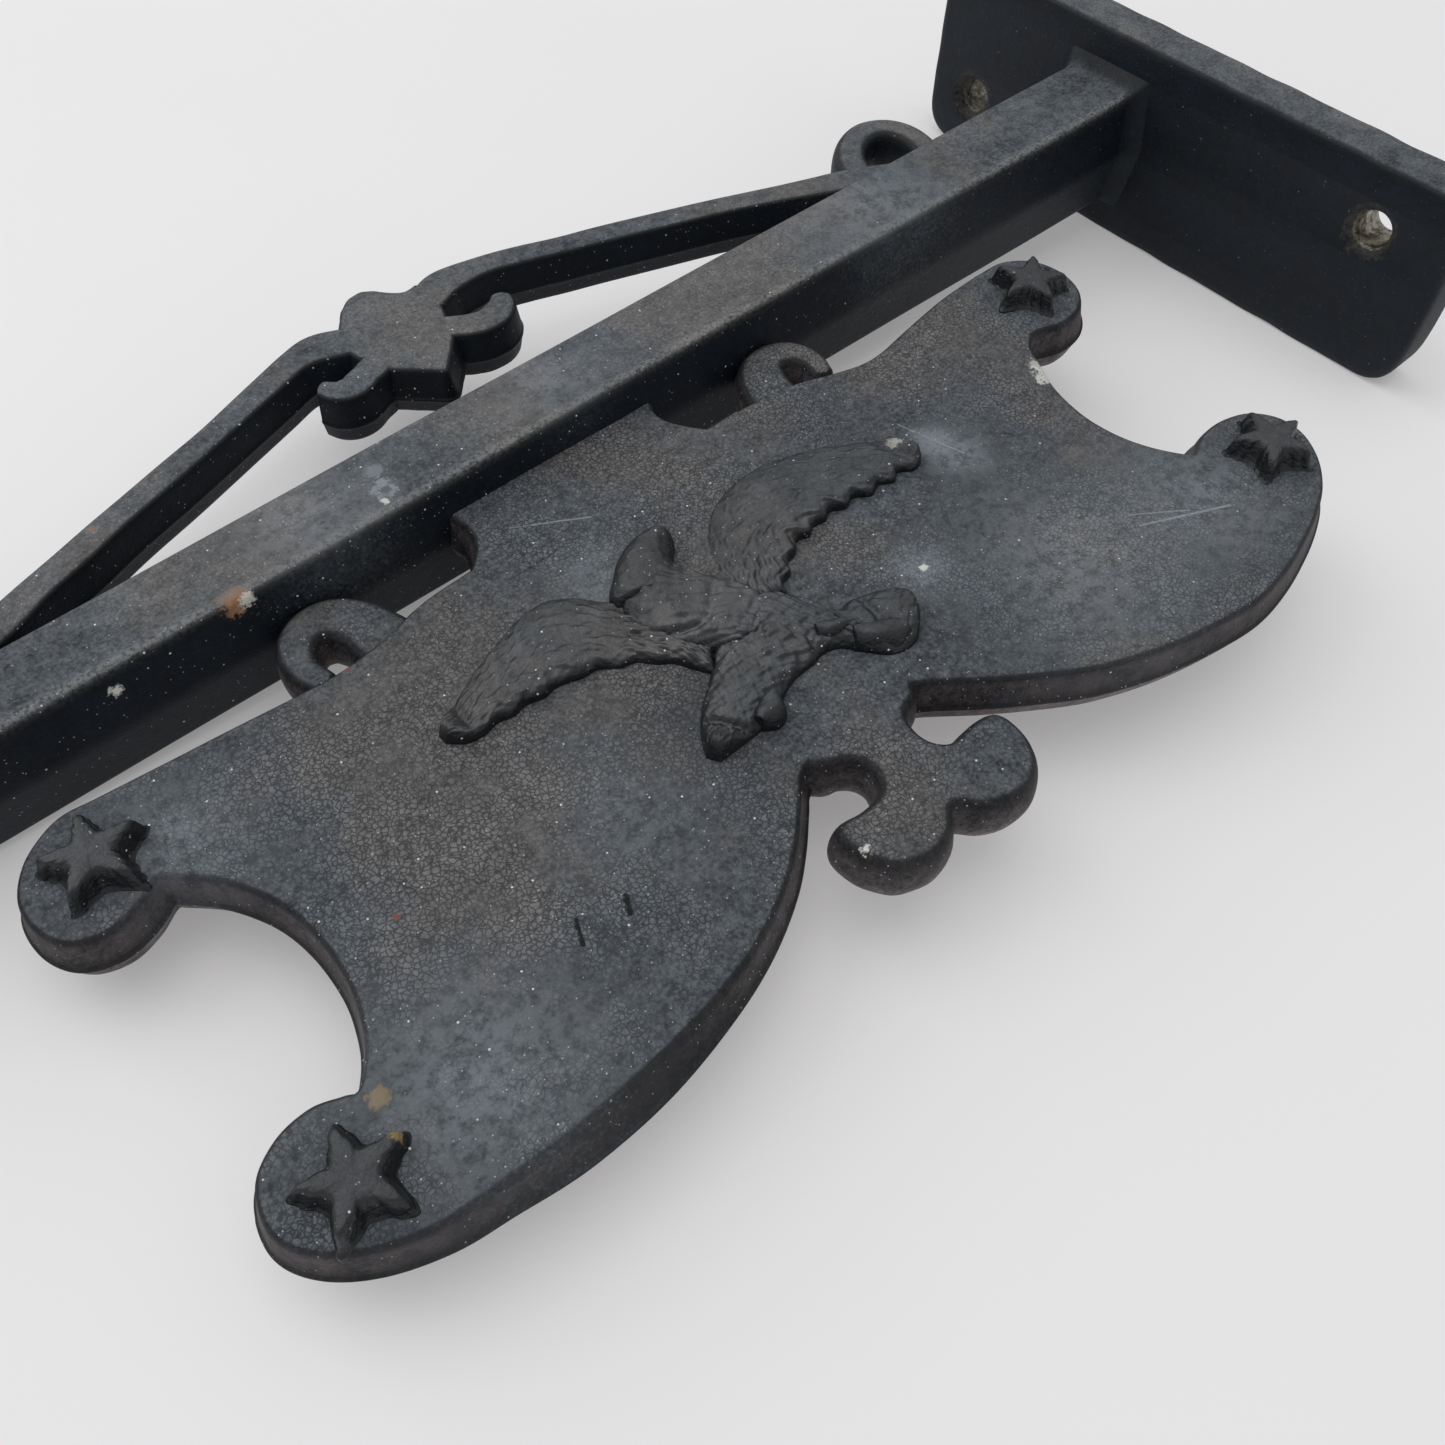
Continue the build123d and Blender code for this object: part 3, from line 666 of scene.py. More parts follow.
def wing_height(seed):
    """Low at the front edge and high at the rear, with one long groove, feather lumps and a
    rounded knob after a notch at the tip."""
    bumps = plumage(seed, 0.24, 1.4)

    def height(u, w):
        slope = 0.55 + 1.55 * w**1.3
        groove = -0.30 * np.exp(-((w - 0.52 - 0.10 * np.sin(3 * u)) / 0.035) ** 2) * np.clip(1.1 - u, 0, 1)
        knob = 0.75 * np.exp(-((u - 0.965) / 0.04) ** 2) - 0.45 * np.exp(-((u - 0.895) / 0.02) ** 2)
        scallops = 0.22 * np.cos(2 * np.pi * 10 * u) * np.clip((w - 0.72) / 0.2, 0, 1)
        return slope + groove + bumps(u, w) * (1 - 0.6 * u) + knob + scallops
    return height


wall_lead = [
    (1.4, -38.6), (2.0, -34.4), (4.4, -30.2), (7.0, -27.3), (9.9, -25.3), (14.0, -24.1), (18.9, -24.2),
    (24.3, -25.8), (29.0, -28.3), (32.8, -30.8), (34.6, -32.9)]
wall_trail = [
    (6.5, -41.3), (7.2, -39.7), (8.8, -39.2), (9.8, -37.8), (11.6, -37.2), (13.0, -35.9), (14.8, -36.2),
    (16.2, -35.4), (18.0, -35.6), (19.4, -34.9), (21.2, -35.8), (22.9, -35.2), (24.9, -36.4), (26.6, -35.8),
    (28.4, -36.7), (29.9, -35.9), (31.6, -36.9), (33.4, -36.4), (34.5, -34.6)]
free_lead = [
    (-3.6, -39.5), (-4.6, -34.8), (-7.6, -31.0), (-9.8, -28.2), (-12.0, -25.6), (-14.9, -24.0),
    (-18.6, -24.2), (-21.9, -25.3), (-25.7, -26.7), (-29.1, -28.4), (-32.2, -29.8), (-34.0, -31.4)]
free_trail = [
    (-7.0, -44.2), (-8.3, -42.2), (-9.5, -40.2), (-11.0, -39.1), (-12.4, -37.5), (-14.2, -36.9),
    (-16.2, -35.4), (-18.0, -35.2), (-20.7, -34.3), (-22.5, -34.5), (-24.7, -34.0), (-26.5, -34.3),
    (-28.3, -33.9), (-30.2, -34.3), (-32.2, -34.0), (-33.9, -32.6)]
lump("bird_wing_wall", wall_lead, wall_trail, wing_height(51), ["wing_wall_side"], count=230, across=60)
lump("bird_wing_free", free_lead, free_trail, wing_height(52), ["wing_free_side"], count=230, across=60)
print("wings", made["bird_wing_wall"].dimensions)

# %% Body and head
body_feathers = plumage(61, 0.20, 0.85)
body_free = [
    (-3.4, -27.0), (-6.6, -28.0), (-8.6, -30.0), (-9.6, -33.0), (-9.4, -36.2), (-8.0, -38.9), (-5.6, -41.4),
    (-2.6, -43.6)]
body_wall = [
    (-1.6, -28.0), (-0.2, -30.6), (0.4, -32.4), (2.4, -34.2), (3.9, -36.9), (4.4, -39.8), (3.0, -42.6),
    (0.2, -44.4)]


def breast_height(u, w):
    """A round breast, lower towards the tail, with feathers and one crease across."""
    crease = 0.45 * np.exp(-((u - 0.55 - 0.12 * np.sin(5 * w)) / 0.03) ** 2)
    return 2.25 - 0.5 * u + 0.65 * np.sin(np.pi * w) ** 0.7 + body_feathers(u, w) - crease


lump("bird_breast", body_free, body_wall, breast_height, ["bird_body"], count=170, across=70, power=2.2)
head_free = [
    (-9.3, -30.4), (-9.1, -28.6), (-7.4, -27.0), (-5.2, -25.2), (-2.6, -24.1), (-0.6, -24.0), (0.7, -24.4)]
head_wall = [
    (-2.6, -33.2), (-1.2, -31.8), (-0.6, -30.4), (-0.3, -29.4), (0.6, -28.5), (1.7, -27.3), (2.3, -26.0)]
head_feathers = plumage(62, 0.05)


def head_height(u, w):
    """A domed head with a dip before the beak."""
    dip = 0.55 * np.exp(-((u - 0.72) / 0.05) ** 2) * np.exp(-((w - 0.9) / 0.3) ** 2)
    return 2.2 + 0.75 * np.sin(np.pi * u) + 0.3 * np.sin(np.pi * w) + head_feathers(u, w) - dip


lump("bird_head_cap", head_free, head_wall, head_height, ["bird_head"], count=110, across=48, power=2.2)
print("body and head", made["bird_breast"].dimensions)

# %% Legs and feet
def foot(knob_u, crease_u, seed):
    """A leg's height: plumage, a crease behind the foot and a knob on its toe."""
    bumps = plumage(seed, 0.26, 1.2)

    def height(u, w):
        knob = 0.75 * np.exp(-((u - knob_u) / 0.07) ** 2)
        crease = 0.55 * np.exp(-((u - crease_u) / 0.025) ** 2)
        return 1.75 + bumps(u, w) * (1 - 0.7 * u) + 0.35 * np.sin(np.pi * w) + knob - crease
    return height


foot_free_front = [
    (-0.6, -40.2), (-3.8, -40.8), (-6.6, -43.2), (-8.9, -44.9), (-11.4, -46.8), (-13.6, -49.2),
    (-15.0, -51.6)]
foot_free_back = [(5.6, -47.6), (3.0, -49.8), (-1.0, -50.2), (-4.2, -51.4), (-7.2, -52.6), (-10.4, -52.9),
                  (-14.2, -53.0)]
foot_wall_front = [
    (1.6, -39.2), (4.4, -39.0), (6.2, -40.8), (7.4, -43.0), (7.9, -45.2), (8.8, -46.6), (11.2, -46.4),
    (14.8, -47.8), (16.6, -50.4)]
foot_wall_back = [
    (-2.0, -45.6), (0.2, -48.4), (2.8, -49.6), (4.6, -49.8), (6.0, -50.6), (7.6, -52.8), (9.6, -54.9),
    (12.6, -55.2), (15.8, -52.8)]
foot_free, foot_wall = foot(0.93, 0.78, seed=64), foot(0.92, 0.70, seed=65)
lump("bird_foot_free", foot_free_front, foot_free_back, foot_free, ["leg_free_side"], across=60, power=2.4)
lump("bird_foot_wall", foot_wall_front, foot_wall_back, foot_wall, ["leg_wall_side"], across=60, power=2.4)


def toe_height(u, w):
    """A plain round toe with one slow wave along it."""
    return 2.45 + 0.12 * np.sin(9 * u + 5 * w)


toe_free = ([(-5.4, -50.2), (-6.6, -50.0), (-7.9, -50.6), (-8.6, -51.8)],
            [(-4.2, -51.6), (-5.0, -53.2), (-6.6, -53.8), (-8.2, -53.0)])
toe_wall = ([(7.6, -49.4), (9.0, -49.6), (11.0, -50.6), (12.6, -52.2)],
            [(6.6, -51.6), (8.6, -53.6), (10.6, -54.9), (12.8, -54.6)])
spur_wall = ([(4.6, -46.6), (6.2, -46.9), (7.6, -47.8), (8.6, -49.0)],
             [(4.0, -48.4), (5.6, -49.6), (7.2, -50.2), (8.6, -50.0)])
for label, edges, side in (("toe_free", toe_free, "free"), ("toe_wall", toe_wall, "wall"),
                           ("spur_wall", spur_wall, "wall")):
    lump(f"bird_{label}", *edges, toe_height, [f"leg_{side}_side"], count=50, across=30, power=2.0)
print("bird pieces", [n for n in made if n.startswith("bird")])

# %% [markdown]
# ## Shader arithmetic
# A worn paint is many small rules added together: where dust lies, where the coat is thin,
# where a chip shows metal. Written as nodes by hand they would fill pages, so a small class
# wraps a socket and turns ordinary arithmetic into Math nodes.

# %% Socket class
class Level:
    """A number that varies over the surface. Arithmetic on it adds Math nodes."""

    def __init__(self, paint, socket):
        self.paint, self.socket = paint, socket

    def other(self, name):
        """Another output of the same node."""
        return Level(self.paint, self.socket.node.outputs[name])

    def math(self, operation, first, second, clamp=False):
        settings = {"operation": operation, "use_clamp": clamp}
        return self.paint.node("ShaderNodeMath", settings, {0: first, 1: second})

    def __add__(self, other):
        return self.math("ADD", self, other)

    def __radd__(self, other):
        return self.math("ADD", other, self)

    def __sub__(self, other):
        return self.math("SUBTRACT", self, other)

    def __rsub__(self, other):
        return self.math("SUBTRACT", other, self)

    def __mul__(self, other):
        return self.math("MULTIPLY", self, other)

    def __rmul__(self, other):
        return self.math("MULTIPLY", other, self)

    def clip(self):
        """Kept from 0 to 1."""
        return self.math("ADD", self, 0.0, clamp=True)

    def between(self, low, high):
        """0 below low, 1 above high, and a smooth S between them."""
        return self.paint.node("ShaderNodeMapRange", {"interpolation_type": "SMOOTHSTEP"},
                               {"Value": self, "From Min": low, "From Max": high})


class Paint:
    """One material: its nodes, its Object coordinates and its shader."""

    def __init__(self, name):
        self.material = bpy.data.materials.new(name)
        self.material.use_nodes = True
        self.tree = self.material.node_tree
        self.tree.nodes.clear()
        self.place = self.node("ShaderNodeTexCoord", out="Object")
        self.facing = self.place.other("Normal")

    def node(self, kind, settings=None, sockets=None, out=0):
        """Any node: its settings first, then its sockets' values or links."""
        new = self.tree.nodes.new(kind)
        for key, value in (settings or {}).items():
            setattr(new, key, value)
        for key, value in (sockets or {}).items():
            if isinstance(value, Level):
                self.tree.links.new(value.socket, new.inputs[key])
            else:
                new.inputs[key].default_value = value
        return Level(self, new.outputs[out]) if len(new.outputs) else new

    def noise(self, scale, detail=3.0, rough=0.6, at=None):
        sockets = {"Vector": at or self.place, "Scale": scale, "Detail": detail, "Roughness": rough}
        return self.node("ShaderNodeTexNoise", {}, sockets)

    def cells(self, scale, feature="F1", at=None):
        sockets = {"Vector": at or self.place, "Scale": scale}
        return self.node("ShaderNodeTexVoronoi", {"feature": feature}, sockets, "Distance")

    def vector(self, operation, first, second, out=0):
        return self.node("ShaderNodeVectorMath", {"operation": operation}, {0: first, 1: second}, out)

    def part(self, vector, axis):
        return self.node("ShaderNodeSeparateXYZ", {}, {0: vector}, axis)

    def mix(self, first, second, factor):
        """The first colour where the factor is 0, the second where it is 1."""
        return self.node("ShaderNodeMix", {"data_type": "RGBA"}, {0: factor, 6: first, 7: second}, 2)

    def spot(self, centre, radius, ragged, soft=0.35, stretch=(1, 1, 1)):
        """1 inside a small ball round a point given in mm, 0 outside, with a ragged rim."""
        shift = self.vector("SUBTRACT", self.place, tuple(c * MM for c in centre))
        scaled = self.vector("MULTIPLY", shift, tuple(k / (radius * MM) for k in stretch))
        away = self.node("ShaderNodeVectorMath", {"operation": "LENGTH"}, {0: scaled}, "Value")
        return 1 - (away + ragged).between(1 - soft, 1 + soft)

    def line(self, start, end, width, ragged):
        """1 along a straight line between two points given in mm: the distance from the
        nearest point of the line, a + (b - a) h, with h kept from 0 to 1."""
        a, b = np.array(start) * MM, np.array(end) * MM
        span = tuple((b - a).tolist())
        shift = self.vector("SUBTRACT", self.place, tuple(a.tolist()))
        per_length = tuple(((b - a) / np.dot(b - a, b - a)).tolist())
        along = self.vector("DOT_PRODUCT", shift, per_length, "Value").clip()
        nearest = self.node("ShaderNodeVectorMath", {"operation": "SCALE"}, {0: span, "Scale": along})
        gap = self.node("ShaderNodeVectorMath", {"operation": "DISTANCE"}, {0: shift, 1: nearest}, "Value")
        return 1 - (gap * (1 / (width * MM)) + ragged * 0.8).between(0.5, 1.3)

    def finish(self, **sockets):
        """The shader and the output."""
        named = {key.replace("_", " "): value for key, value in sockets.items()}
        shader = self.node("ShaderNodeBsdfPrincipled", {}, named)
        out = self.tree.nodes.new("ShaderNodeOutputMaterial")
        self.tree.links.new(shader.socket, out.inputs["Surface"])
        return self.material


print("socket classes ready")

# %% [markdown]
# ## Old black paint on cast iron
# The coat is a thick black oil paint over sand-cast iron. Sand leaves a fine grain, the paint
# has dried into a pebbled skin in places, and years of dust with a painted sheen turn every
# surface that faces up a cloudy charcoal, while the sides keep the deep, slightly blue black.
# Walls below the parting line, and the sign's walls, are lightened with painted bounce light
# from the table, the rounded top corners carry a painted dark reflection, and the relief is
# darkened at its foot as painted shade. Dust specks, rubbed edges and a few chips with rust
# behind them finish it. One recipe serves all three slots, with different amounts.

# %% Paint recipe
def colour(r, g, b):
    """A display colour from 0 to 255 as linear light: ((c + 0.055) / 1.055)^2.4, or c / 12.92
    near black."""
    c = np.array([r, g, b]) / 255
    line = np.where(c > 0.04045, ((c + 0.055) / 1.055) ** 2.4, c / 12.92)
    return (*line.tolist(), 1.0)


# noise sizes: scale, detail, roughness
CLOUD, PATCH, MOTTLE, GRAIN = (30.0, 4.0, 0.62), (105.0, 4.0, 0.66), (560.0, 3.0, 0.72), (2100.0, 2.0, 0.7)
HAZE_SIZE = 2.5                # a mark wider than this, in mm, is a haze
ALONG_BORE = (0.2, 1, 1)       # stretches a spot five times along the bore


def dust_and_painted_light(p, wall, painted_bounce):
    """The coat before any mark. On faces that look up, five sizes of cloud add up to a tone
    between dark and light, cool in some places and warm in others: dust together with a
    painted sheen. Walls run from near black to the wall colour (on the sign a light brown that
    is painted bounce light), or below the parting line, where they face down, to the second
    colour, a painted bounce light from the white table. The rounded corner between a wall and
    the top is darkest, as a painted dark reflection."""
    wiped = p.noise(1.0, 3.0, 0.6, at=p.vector("MULTIPLY", p.place, (24.0, 190.0, 60.0)))
    tone = (p.cloud.between(0.36, 0.64) * 0.24 + p.patch.between(0.34, 0.66) * 0.24
            + p.mottle.between(0.34, 0.66) * 0.24 + p.grain.between(0.36, 0.64) * 0.28
            + wiped.between(0.36, 0.66) * 0.08)
    cool = p.mix(colour(19, 23, 28), colour(116, 122, 128), tone)
    warm = p.mix(colour(24, 23, 24), colour(122, 118, 116), tone)
    top = p.mix(cool, warm, p.cloud.between(0.44, 0.60) * 0.8)
    shade = (p.mottle.between(0.35, 0.68) * 0.35 + p.patch.between(0.38, 0.66) * 0.30
             + p.grain.between(0.36, 0.64) * 0.35)
    # Wall colour: the paint's blue black on the body and relief, a painted bounce light brown on the sign.
    side = p.mix(colour(7, 11, 16), wall, shade)
    # Painted bounce light: walls below the parting line, facing down, lightened as if lit by the table.
    under = p.mix(colour(30, 31, 34), painted_bounce, shade)
    side = p.mix(side, under, (0 - p.up).between(-0.10, 0.18))
    # Faces that look up take the charcoal tone of dust together with a painted sheen.
    paint = p.mix(side, top, p.up.between(0.42, 0.97))
    # Painted dark reflection: the shiny rounded corner between a wall and the top is darkened.
    corner = p.up.between(0.12, 0.45) * (1 - p.up.between(0.80, 0.985))
    return p.mix(paint, colour(10, 13, 17), corner * 0.72)


def relief_flecks_and_painted_shade(p, paint, hollow):
    """Relief is near black at its foot, where it meets the face, as painted shade, mottled on its
    slopes, and black again on the highest ornaments, where hands polish it."""
    # Painted shade: the relief is darkened towards its foot, where it meets the sign's face.
    foot = 1 - p.height.between(0.0034, 0.0043)
    paint = p.mix(paint, colour(9, 12, 15), (foot * hollow).clip())
    flecks = 0.16 + p.mottle.between(0.42, 0.60) * 0.34 + p.grain.between(0.45, 0.60) * 0.20
    paint = p.mix(paint, colour(13, 16, 21), flecks)
    return p.mix(paint, colour(10, 12, 16), p.height.between(0.0054, 0.0062) * 0.45)


def crazing(p, pebbles):
    """Fine cracks between pebbles of paint: 1 on the border of each cell, inside the clouds."""
    bent = p.node("ShaderNodeVectorMath", {"operation": "MULTIPLY_ADD"},
                  {0: p.mottle.other("Color"), 1: (0.0010,) * 3, 2: p.place})
    border = 1 - p.cells(1750.0, "DISTANCE_TO_EDGE", bent).between(0.01, 0.17)
    return border * (p.patch + p.cloud * 0.5).between(0.55, 0.84) * pebbles


def marks_of_use(p, paint, spots, lines):
    """Spots are (centre, radius, colour, strength) and lines are (start, end, width, colour,
    strength), in mm. A small spot has a firm rim, and one wider than HAZE_SIZE is a cloudy
    haze."""
    for centre, radius, tint, strength in spots:
        wide = radius > HAZE_SIZE
        amount = p.spot(centre, radius, p.ragged, 0.9 if wide else 0.35) * strength
        paint = p.mix(paint, tint, amount * (0.35 + p.mottle.between(0.35, 0.65)) if wide else amount)
    for start, end, width, tint, strength in lines:
        paint = p.mix(paint, tint, p.line(start, end, width, p.ragged) * strength)
    return paint


def lint_and_powder(p, paint):
    """White specks in some of the cells of two sizes, fewer towards the wall plate."""
    lint, powder = p.cells(470.0), p.cells(1250.0)
    specks = (1 - lint.between(0.035, 0.075)) * p.part(lint.other("Color"), "X").between(0.12, 0.2)
    fine = (1 - powder.between(0.06, 0.13)) * p.part(powder.other("Color"), "Y").between(0.32, 0.40)
    settled = 1 - p.part(p.place, "X").between(-0.105, -0.02) * 0.85
    paint = p.mix(paint, colour(226, 226, 222), ((specks * 0.9 + fine * 0.42) * settled).clip())
    return paint, specks


def worn_holes(p, paint, holes):
    """Paint worn through round each screw hole, given as (centre, bare radius, dirty radius):
    pale metal inside a dirty ring. Where holes meet, the larger value counts."""
    worn = ring = None
    for centre, bare, dirty in holes:
        here = p.spot(centre, bare, p.ragged * 0.12, 0.08, ALONG_BORE)
        around_it = p.spot(centre, dirty, p.ragged * 0.5, 0.25, ALONG_BORE)
        worn = here if worn is None else worn.math("MAXIMUM", worn, here)
        ring = around_it if ring is None else ring.math("MAXIMUM", ring, around_it)
    paint = p.mix(paint, colour(74, 70, 64), ring * 0.6)
    metal = p.mix(colour(92, 84, 70), colour(176, 172, 160), p.mottle.between(0.4, 0.6))
    return p.mix(paint, metal, worn), worn


def iron_paint(name, pebbles, gloss, wall, painted_bounce, spots=(), lines=(), holes=(), hollow=0.0):
    """pebbles is how strongly the skin has crazed, gloss lowers the roughness, wall is the light
    colour of the walls above the parting line (on the sign a painted bounce light), the colour
    after it is a painted bounce light on the walls below the parting line, and hollow darkens
    relief towards its foot, as painted shade, and roughens it."""
    p = Paint(name)
    p.up, p.height = p.part(p.facing, "Z"), p.part(p.place, "Z")
    p.cloud, p.patch, p.mottle, p.grain = [p.noise(*size) for size in (CLOUD, PATCH, MOTTLE, GRAIN)]
    p.ragged = (p.mottle - 0.5) * 2.2 + (p.grain - 0.5) * 2.4
    paint = dust_and_painted_light(p, wall, painted_bounce)
    if hollow:
        paint = relief_flecks_and_painted_shade(p, paint, hollow)
    craze = crazing(p, pebbles)
    paint = p.mix(paint, colour(26, 29, 33), (craze * p.up.between(0.4, 0.9) * 0.70).clip())
    rubbed = p.node("ShaderNodeAttribute", {"attribute_name": "rubbed"}, {}, "Fac")
    paint = p.mix(paint, colour(146, 146, 143), (rubbed * p.grain.between(0.30, 0.62) * 0.45).clip())
    paint = marks_of_use(p, paint, spots, lines)
    paint, specks = lint_and_powder(p, paint)
    rough = 0.60 - gloss + (p.grain - 0.5) * 0.25 + p.up.between(0.3, 0.9) * 0.12
    metallic = 0.0
    if holes:
        paint, worn = worn_holes(p, paint, holes)
        rough = rough - worn * 0.22
        metallic = worn * 0.75
    relief = (p.patch * 2.2 + p.mottle * (0.9 + hollow * 2.6) + p.grain * (0.5 + hollow * 0.8)
              - craze * 0.45 + specks * 0.6)
    bump = p.node("ShaderNodeBump", {}, {"Strength": 0.5, "Distance": 0.00020, "Height": relief})
    return p.finish(Base_Color=paint, Roughness=rough.clip(), Metallic=metallic, Normal=bump,
                    Specular_IOR_Level=0.22 + hollow * 0.25)


print("paint recipe ready")

# %% Marks, places in mm
RUST, TAN, CHALK, RED, INK, HAZE = (colour(150, 112, 84), colour(150, 128, 84), colour(214, 213, 206),
                                    colour(122, 76, 68), colour(12, 14, 17), colour(140, 147, 154))
body_spots = [
    ((-162.1, -5.3, 7.3), 1.5, RUST, 0.9), ((-161.0, -5.6, 7.0), 0.9, CHALK, 0.8),
    ((-177.0, -5.9, 5.0), 0.75, CHALK, 1.0), ((-140.9, -1.8, 7.9), 1.35, HAZE, 0.8),
    ((-141.0, -1.9, 7.9), 0.75, colour(70, 74, 78), 0.8), ((-140.3, 1.6, 7.9), 1.0, HAZE, 0.5),
    ((-142.0, -3.4, 7.9), 0.45, CHALK, 0.8), ((-168.2, 18.8, 3.5), 0.5, RUST, 0.6),
    ((-116.0, 2.0, 8.2), 6.0, HAZE, 0.22), ((-150.0, 0.0, 7.9), 7.0, HAZE, 0.25),
    ((-60.0, 1.0, 8.4), 9.0, HAZE, 0.25), ((-3.0, -52.0, 13.5), 1.4, CHALK, 0.6),
    ((-4.5, -54.0, 13.4), 0.7, CHALK, 0.9), ((-2.6, -48.0, 14.0), 0.6, CHALK, 0.7)]
sign_spots = [
    ((-180.6, -59.2, 3.5), 0.9, TAN, 0.6), ((-157.3, -17.4, 3.5), 0.5, RED, 0.8),
    ((-169.7, -45.7, 3.5), 0.35, RED, 0.9), ((-63.3, -35.7, 3.3), 1.5, CHALK, 0.75),
    ((-62.4, -33.6, 3.3), 1.0, CHALK, 0.6), ((-130.9, -69.8, 3.0), 0.5, CHALK, 0.9),
    ((-128.4, -24.9, 3.5), 4.0, HAZE, 0.35), ((-82.9, -37.8, 3.5), 3.6, HAZE, 0.45),
    ((-83.7, -34.3, 3.5), 2.4, HAZE, 0.4), ((-85.2, -59.3, 3.5), 11.0, HAZE, 0.28),
    ((-172.8, -63.4, 3.5), 9.0, HAZE, 0.30), ((-100.1, -48.0, 3.5), 3.2, HAZE, 0.4),
    ((-99.6, -48.3, 3.5), 0.5, CHALK, 0.9), ((-142.7, -50.6, 3.5), 7.0, HAZE, 0.20),
    ((-181.8, -24.7, 3.5), 6.0, HAZE, 0.28), ((-66.0, -62.0, 3.5), 8.0, HAZE, 0.26),
    ((-135.6, -48.7, 3.5), 9.0, INK, 0.42), ((-92.0, -24.0, 3.5), 8.0, INK, 0.18)]
sign_lines = [
    ((-75.5, -60.5, 3.5), (-64.6, -65.5, 3.5), 0.16, HAZE, 0.8),
    ((-76.5, -57.5, 3.5), (-69.0, -62.8, 3.5), 0.12, HAZE, 0.6),
    ((-131.7, -12.3, 3.5), (-123.6, -17.1, 3.5), 0.13, HAZE, 0.7),
    ((-170.5, -66.1, 3.5), (-172.3, -67.6, 3.5), 0.2, HAZE, 0.8),
    ((-157.2, -57.0, 3.5), (-158.3, -59.6, 3.5), 0.24, INK, 0.95),
    ((-152.1, -58.3, 3.5), (-153.0, -60.0, 3.5), 0.32, INK, 0.95),
    ((-84.6, -29.8, 3.5), (-82.2, -38.6, 3.5), 0.13, HAZE, 0.6)]
relief_spots = [
    ((-181.0, -63.6, 5.6), 0.9, TAN, 0.85), ((-188.8, -61.9, 5.4), 0.6, CHALK, 0.7),
    ((-189.2, -23.5, 5.6), 0.6, CHALK, 0.6), ((-88.3, -32.2, 4.9), 0.9, CHALK, 0.45),
    ((-132.7, -51.1, 5.0), 0.45, CHALK, 0.7), ((-126.9, -51.1, 5.0), 0.4, CHALK, 0.7),
    ((-121.0, -38.0, 5.5), 5.0, HAZE, 0.15)]
bare_holes = [((-3.0, -47.5, 5.8), 2.9, 3.5), ((-3.0, 25.0, -5.8), 2.7, 3.6)]
# Light wall colours below the parting line, and the sign's wall colour, are painted bounce light.
paints = {
    "body_paint": iron_paint("arm_and_brace_paint", pebbles=0.45, gloss=0.05, wall=colour(17, 27, 38),
                             painted_bounce=colour(32, 41, 49), spots=body_spots, holes=bare_holes),
    "sign_paint": iron_paint("sign_paint_skin", pebbles=1.0, gloss=0.02, wall=colour(98, 91, 93),
                             painted_bounce=colour(138, 128, 127), spots=sign_spots, lines=sign_lines),
    "relief_paint": iron_paint("relief_paint_skin", pebbles=0.2, gloss=0.24, wall=colour(30, 33, 37),
                               painted_bounce=colour(60, 60, 62), spots=relief_spots, hollow=0.92)}
for piece in made.values():
    piece.data.materials.append(paints[piece["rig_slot"]])
print("painted", len(made), "pieces")

# %% [markdown]
# ## The table and the light
# The bracket lies on a plain white surface under a big soft window behind it and a soft glow
# from above. The side nearest the viewer gets only what the white surface throws back, which
# is partly why the walls of the casting look so much darker than its top faces; the rest is
# the paint's dust and painted sheen on the tops. The arm's root is thicker than its free end,
# so the casting rests at a slight tilt, and the surface is tilted instead of the object.

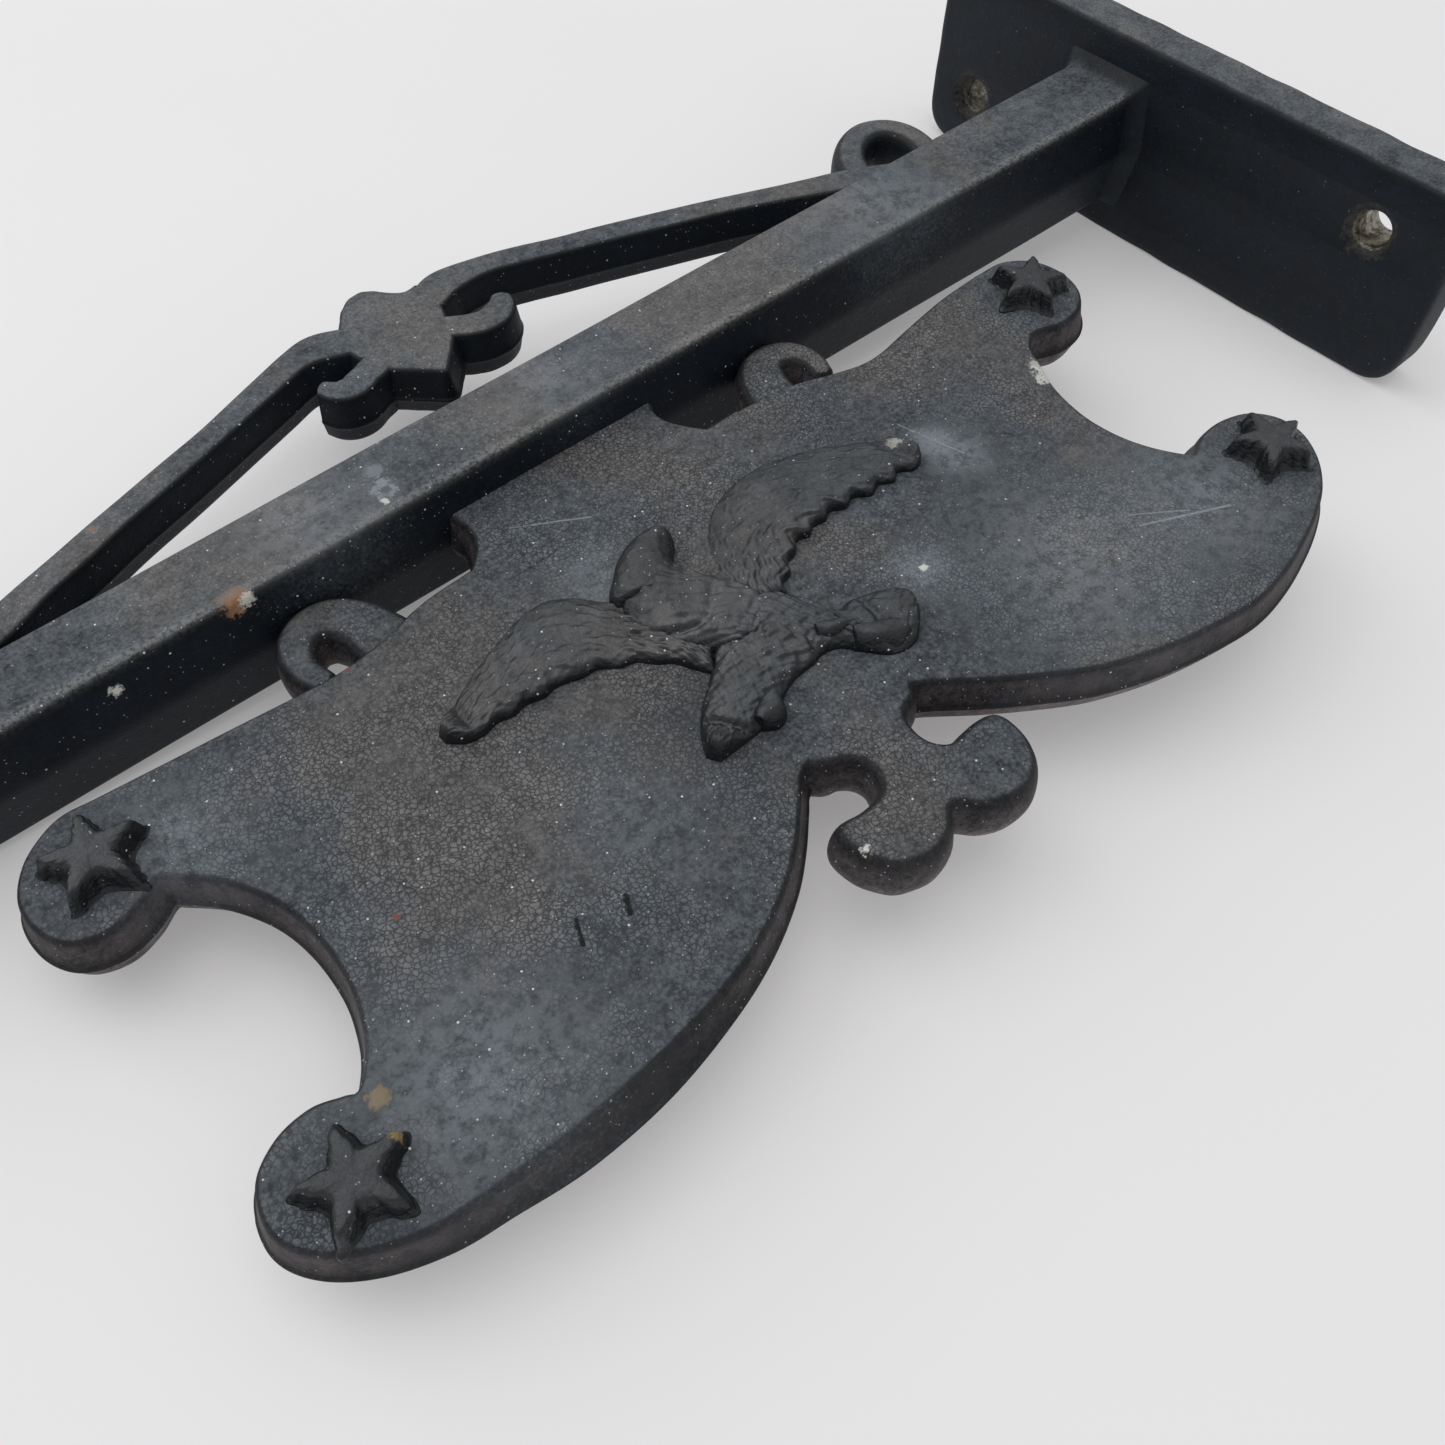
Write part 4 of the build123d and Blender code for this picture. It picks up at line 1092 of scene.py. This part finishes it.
# %% Floor
PLATE_REST, TIP_REST = -15.25, -7.35       # heights of the surface under the plate and the arm's tip
corners = ((-1600, -1400), (1500, -1400), (1500, 1600), (-1600, 1600))
tilt = np.array([[x, y, PLATE_REST + (TIP_REST - PLATE_REST) * (-x / REACH)] for x, y in corners])
floor_mesh = bpy.data.meshes.new("white_table")
floor_mesh.from_pydata((tilt * MM).tolist(), [], [(0, 1, 2, 3)])
floor = bpy.data.objects.new("white_table", floor_mesh)
bpy.context.scene.collection.objects.link(floor)
table = Paint("white_table_top")
table_tone = table.mix(colour(204, 202, 203), colour(209, 208, 209), table.noise(9.0, 3.0))
floor_mesh.materials.append(table.finish(Base_Color=table_tone, Roughness=0.6, Specular_IOR_Level=0.2,
                                        Emission_Color=(1.0, 0.985, 0.985, 1.0), Emission_Strength=0.22))
print("floor from", tilt[0].tolist(), "to", tilt[2].tolist())

# %% Lights and world
def soft_box(name, place, aim, size, power, tint):
    """A square area light that faces a point."""
    lamp = bpy.data.lights.new(name, "AREA")
    lamp.shape, lamp.size, lamp.energy, lamp.color = "SQUARE", size, power, tint
    box = bpy.data.objects.new(name, lamp)
    box.location = place
    box.rotation_euler = (Vector(aim) - Vector(place)).to_track_quat("-Z", "Y").to_euler()
    bpy.context.scene.collection.objects.link(box)


middle = (-0.12, -0.02, 0.0)
soft_box("window_behind", (-0.55, 0.95, 0.85), middle, 1.1, 5.6, (0.97, 0.99, 1.0))
soft_box("ceiling_glow", (-0.10, 0.15, 1.30), middle, 1.3, 4.0, (1.0, 0.99, 0.98))
world = bpy.data.worlds.new("dim_room")
bpy.context.scene.world = world
world.use_nodes = True
world.node_tree.nodes["Background"].inputs["Color"].default_value = (0.98, 0.99, 1.0, 1)
world.node_tree.nodes["Background"].inputs["Strength"].default_value = 0.62
bpy.context.scene.view_settings.view_transform = "Standard"
print("lights placed")

# %% Camera
lens = bpy.data.cameras.new("bench_view")
lens.lens, lens.sensor_width, lens.clip_start = 32.634, 36.0, 0.01
camera = bpy.data.objects.new("bench_view", lens)
camera.location = (-0.18581, -0.10653, 0.11553)
camera.rotation_euler = tuple(radians(a) for a in (35.1299, -1.0746, -41.8935))
bpy.context.scene.collection.objects.link(camera)
bpy.context.scene.camera = camera
print("camera at", tuple(round(c, 4) for c in camera.location))
